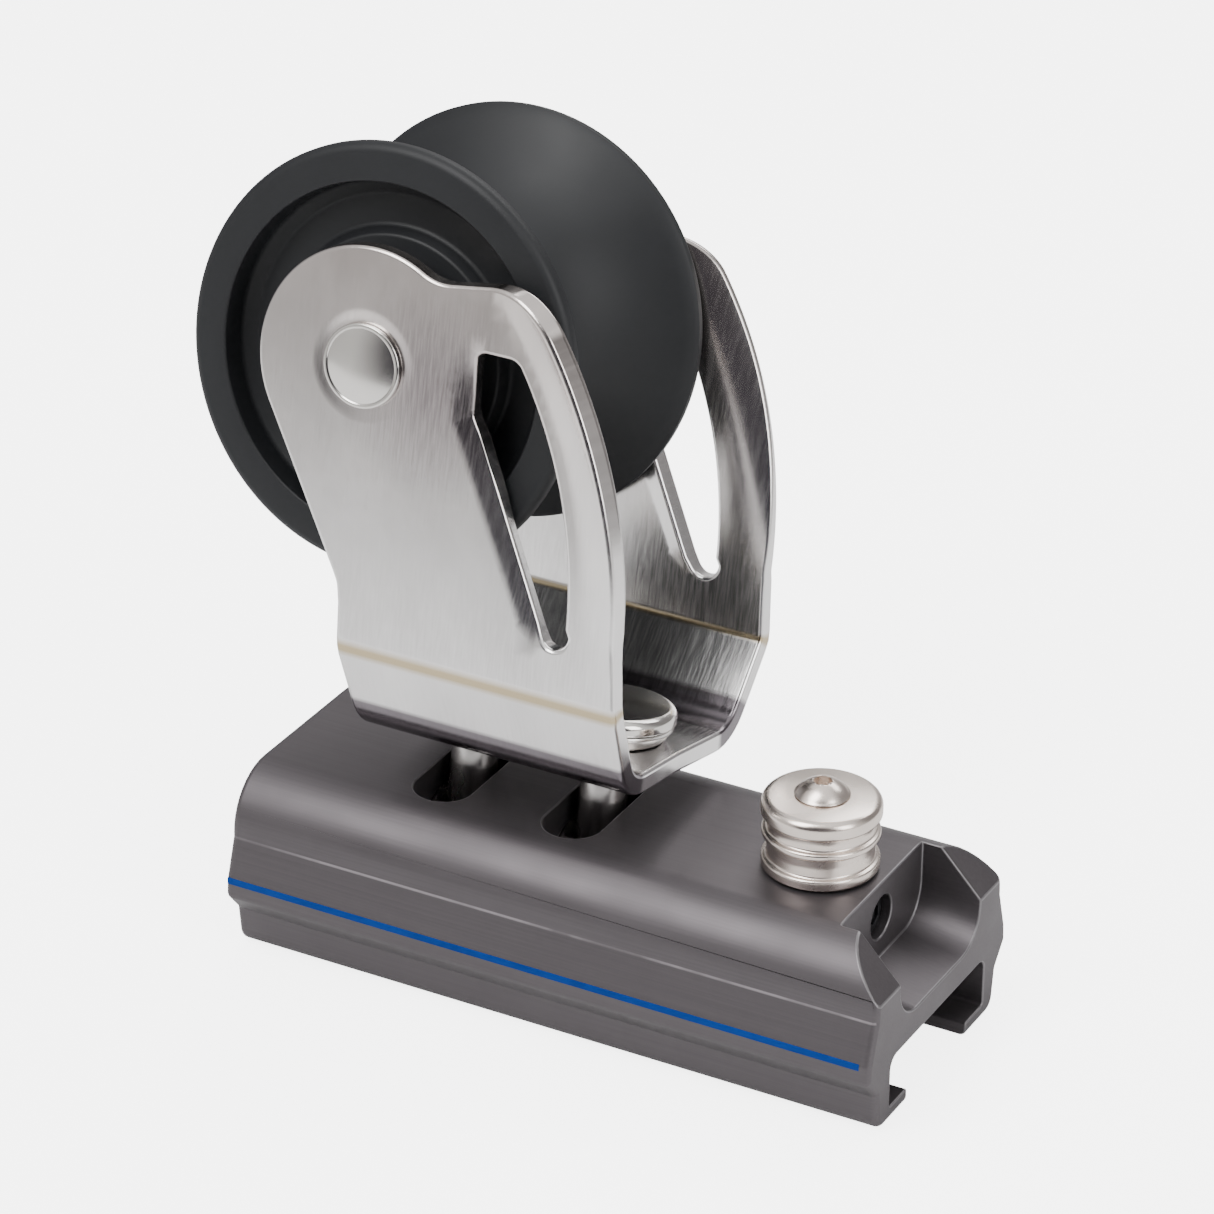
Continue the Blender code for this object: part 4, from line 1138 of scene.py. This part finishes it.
def make_roller(plastic):
    """Hourglass roller with a flat rim ring, a dished side and a hub."""
    groove = []
    for i in range(25):
        y = GROOVE_HALF * i / 24
        groove.append((CORE_RADIUS + (ROLLER_RADIUS - 0.5 - CORE_RADIUS) * (y / GROOVE_HALF) ** 2.2, y))
    rim = [(ROLLER_RADIUS, GROOVE_HALF + 0.5)]
    rim += arc((ROLLER_RADIUS - 1.2, RIM_HALF - 1.2), 1.2, 10, 90, 8)
    side = rounded([(RING_RADIUS + 2.7, RIM_HALF, 0), (RING_RADIUS, RIM_HALF, 0.3),
                    (RING_RADIUS - 0.2, DISH_HALF + 1.0, 0.8), (RING_RADIUS - 2.0, DISH_HALF, 1.0),
                    (STEP_RADIUS + 0.9, DISH_HALF, 0.8), (STEP_RADIUS, STEP_HALF, 0.5),
                    (HUB_RADIUS, STEP_HALF, 0.6), (HUB_RADIUS, HUB_HALF, 0.3),
                    (BUSH_RADIUS + GAP, HUB_HALF, 0.2)], 5, closed=False)[1:]
    half = groove + rim + side
    profile = [(radius, -y) for radius, y in reversed(half[1:])] + half
    turned_piece("roller", profile, 160, plastic, ALONG_Y, AT_AXLE)


def make_axle(metal):
    """Riveted axle: a conical head with a raised rim, sunk in the dimple of each cheek."""
    face = CHEEK_MID + SHEET / 2 - DIMPLE_DEPTH + 0.1
    rim = face + 0.62
    outer = rounded([(AXLE_RADIUS, face, 0), (AXLE_HEAD_RADIUS, face, 0.1), (AXLE_HEAD_RADIUS, rim, 0.22),
                     (AXLE_HEAD_RADIUS - 0.45, rim, 0.12), (AXLE_HEAD_RADIUS - 0.6, rim - 0.12, 0.1),
                     (0, rim + 0.85, 0)], 5, closed=False)
    profile = [(radius, -height) for radius, height in reversed(outer)] + outer
    turned_piece("axle", profile, 128, metal, ALONG_Y, AT_AXLE)


def make_bearings(plastic):
    """Bush and thrust washers on the axle."""
    bush = rounded([(AXLE_RADIUS + GAP, -HUB_HALF, 0.1), (BUSH_RADIUS, -HUB_HALF, 0.2),
                    (BUSH_RADIUS, HUB_HALF, 0.2), (AXLE_RADIUS + GAP, HUB_HALF, 0.1)], 3)
    turned_piece("axle_bush", bush, 64, plastic, ALONG_Y, AT_AXLE)
    low, high = HUB_HALF + GAP, CHEEK_MID - SHEET / 2 - GAP
    for name, side in (("near", -1), ("far", 1)):
        corners = [(AXLE_RADIUS + GAP, low, 0.1), (HUB_RADIUS - 0.5, low, 0.2),
                   (HUB_RADIUS - 0.5, high, 0.2), (AXLE_RADIUS + GAP, high, 0.1)]
        profile = [(radius, side * y) for radius, y in rounded(corners, 3)]
        turned_piece(f"thrust_washer_{name}", profile, 64, plastic, ALONG_Y, AT_AXLE)


def repaint(node, mat):
    """Finish of a CAD node that is shown as it is."""
    mesh = frame["nodes"][node].data
    mesh.materials.clear()
    mesh.materials.append(mat)
    mesh.shade_smooth()
    mesh.set_sharp_from_angle(angle=math.radians(35))


# ---- stage, light and camera

FLOOR_SIZE = 0.8
FLOOR_GLOW = 4.5
SURROUND = (0.80, 0.79, 0.78)
SURROUND_SEEN = (5.4, 5.4, 5.4)
PATCHES = [
    # azimuth, elevation, full within, gone beyond, colour
    (0, 90, 20, 55, (1.25, 1.25, 1.25)),
    (22, 6, 36, 52, (0.06, 0.055, 0.065)),
    (-110, 10, 25, 45, (0.35, 0.35, 0.37)),
    (150, 20, 30, 50, (0.30, 0.29, 0.29)),
]

CAMERA_AT = (0.2627, -0.4918, 0.3382)
CAMERA_AZIMUTH = math.radians(28.23)
CAMERA_ELEVATION = math.radians(27.93)
CAMERA_ROLL = math.radians(0.62)
CAMERA_LENS = 157.15


def make_floor():
    """Plain pale floor."""
    bpy.ops.mesh.primitive_plane_add(size=FLOOR_SIZE, location=(0, 0, CAD_BOX[0].z - 0.0002))
    floor = bpy.context.object
    floor.name = "floor"
    mat, tree, principled = shader("floor_white", (0.86, 0.86, 0.86), 0.6, 0.0)
    tone = ramp(tree, noise(tree, 3, 2), [(0.3, (0.85, 0.85, 0.85)), (0.7, (0.87, 0.87, 0.87))])
    tree.links.new(tone, principled.inputs["Base Color"])
    seen = tree.nodes.new("ShaderNodeLightPath").outputs["Is Camera Ray"]
    principled.inputs["Emission Color"].default_value = (1, 1, 1, 1)
    tree.links.new(remap(tree, seen, 0.0, FLOOR_GLOW, (0.0, 1.0)), principled.inputs["Emission Strength"])
    floor.data.materials.append(mat)


def area_light(name, place, aim, size, power):
    """Soft white rectangular light."""
    data = bpy.data.lights.new(name, "AREA")
    data.shape = "RECTANGLE"
    data.size, data.size_y = size
    data.energy = power
    light = bpy.data.objects.new(name, data)
    bpy.context.collection.objects.link(light)
    light.location = place
    light.rotation_mode = "QUATERNION"
    light.rotation_quaternion = (Vector(aim) - Vector(place)).to_track_quat("-Z", "Y")


def towards(azimuth, elevation):
    """Unit direction: azimuth in degrees from -Y towards +X, elevation above the horizon."""
    turn, rise = math.radians(azimuth), math.radians(elevation)
    return (math.sin(turn) * math.cos(rise), -math.cos(turn) * math.cos(rise), math.sin(rise))


def make_world():
    """White surround with a few darker and brighter patches that the metal mirrors."""
    world = bpy.data.worlds.new("studio")
    bpy.context.scene.world = world
    world.use_nodes = True
    tree = world.node_tree
    direction = tree.nodes.new("ShaderNodeTexCoord").outputs["Generated"]
    tone = SURROUND
    for azimuth, elevation, inner, outer, patch in PATCHES:
        dot = tree.nodes.new("ShaderNodeVectorMath")
        dot.operation = "DOT_PRODUCT"
        dot.inputs[1].default_value = towards(azimuth, elevation)
        tree.links.new(direction, dot.inputs[0])
        limits = (math.cos(math.radians(outer)), math.cos(math.radians(inner)))
        tone = mix(tree, remap(tree, dot.outputs["Value"], 0.0, 1.0, limits), tone, patch)
    seen = tree.nodes.new("ShaderNodeLightPath").outputs["Is Camera Ray"]
    shown = mix(tree, seen, tone, SURROUND_SEEN)
    tree.links.new(shown, tree.nodes["Background"].inputs["Color"])
    tree.nodes["Background"].inputs["Strength"].default_value = 1.0


def make_lights():
    """One large key from the upper left, a small one from the right and one behind."""
    aim = (0, 0, 0.03)
    area_light("key", (-0.25, -0.55, 0.9), aim, (0.45, 0.8), 10)
    area_light("fill", (0.9, -0.3, 0.5), aim, (0.4, 0.7), 5)
    area_light("back", (0.1, 0.9, 0.9), aim, (1.0, 0.4), 6)


def make_camera():
    """Camera at the viewing angle: azimuth about Z, elevation above the horizon, slight roll."""
    data = bpy.data.cameras.new("camera")
    data.lens = CAMERA_LENS
    data.sensor_width = 36
    data.clip_start, data.clip_end = 0.01, 20
    camera = bpy.data.objects.new("camera", data)
    bpy.context.collection.objects.link(camera)
    camera.location = CAMERA_AT
    turn = Matrix.Rotation(CAMERA_AZIMUTH, 3, "Z")
    turn @= Matrix.Rotation(math.radians(90) - CAMERA_ELEVATION, 3, "X")
    turn @= Matrix.Rotation(CAMERA_ROLL, 3, "Z")
    camera.rotation_mode = "QUATERNION"
    camera.rotation_quaternion = turn.to_quaternion()
    bpy.context.scene.camera = camera


# ---- assembly

def main():
    """Every finish, every piece, then the stage."""
    # the grey carries a painted highlight along the crease at the top of the side panel
    grey = anodised("anodised_grey", (0.110, 0.100, 0.106), 0.45, (PANEL_TOP[0] - 0.3, PANEL_TOP[1], 0.22))
    # lighter grey on the rounded edges of the slider
    grey_edge = anodised("lighter_edge_grey", (0.19, 0.18, 0.187), 0.38)
    blue = paint("line_blue", (0.0, 0.035, 0.22))
    sheet = strap_steel("sheet_steel", (0.82, 0.805, 0.80), (0.62, 0.57, 0.545), 0.2)
    head = steel("polished_head", (0.70, 0.68, 0.65), 0.16)
    turned = steel("turned_steel_look", (0.62, 0.60, 0.58), 0.24)
    nickel = steel("knob_nickel", (0.76, 0.68, 0.62), 0.25)
    black = acetal("roller_acetal", (0.0125, 0.0133, 0.015), 0.5, 0.35)
    natural = acetal("bearing_acetal", (0.70, 0.69, 0.64), 0.45)
    bronze = steel("sleeve_bronze_look", (0.50, 0.34, 0.16), 0.3)

    make_slider(grey, grey_edge)
    make_stripes(blue)
    make_bar_plug(turned)
    make_grub_screw(steel("black_oxide", (0.03, 0.03, 0.032), 0.45))
    for node, mat in (("plunger_sleeve", bronze), ("sleeve_cap", bronze), ("swivel_bar", turned),
                      ("plunger_pin", turned)):
        repaint(node, mat)
    make_spring(turned)
    make_knob(nickel)
    make_knob_screw(nickel)
    make_strap(sheet)
    make_posts(turned, head)
    make_roller(black)
    make_axle(head)
    make_bearings(natural)
    make_floor()
    make_world()
    make_lights()
    make_camera()


main()
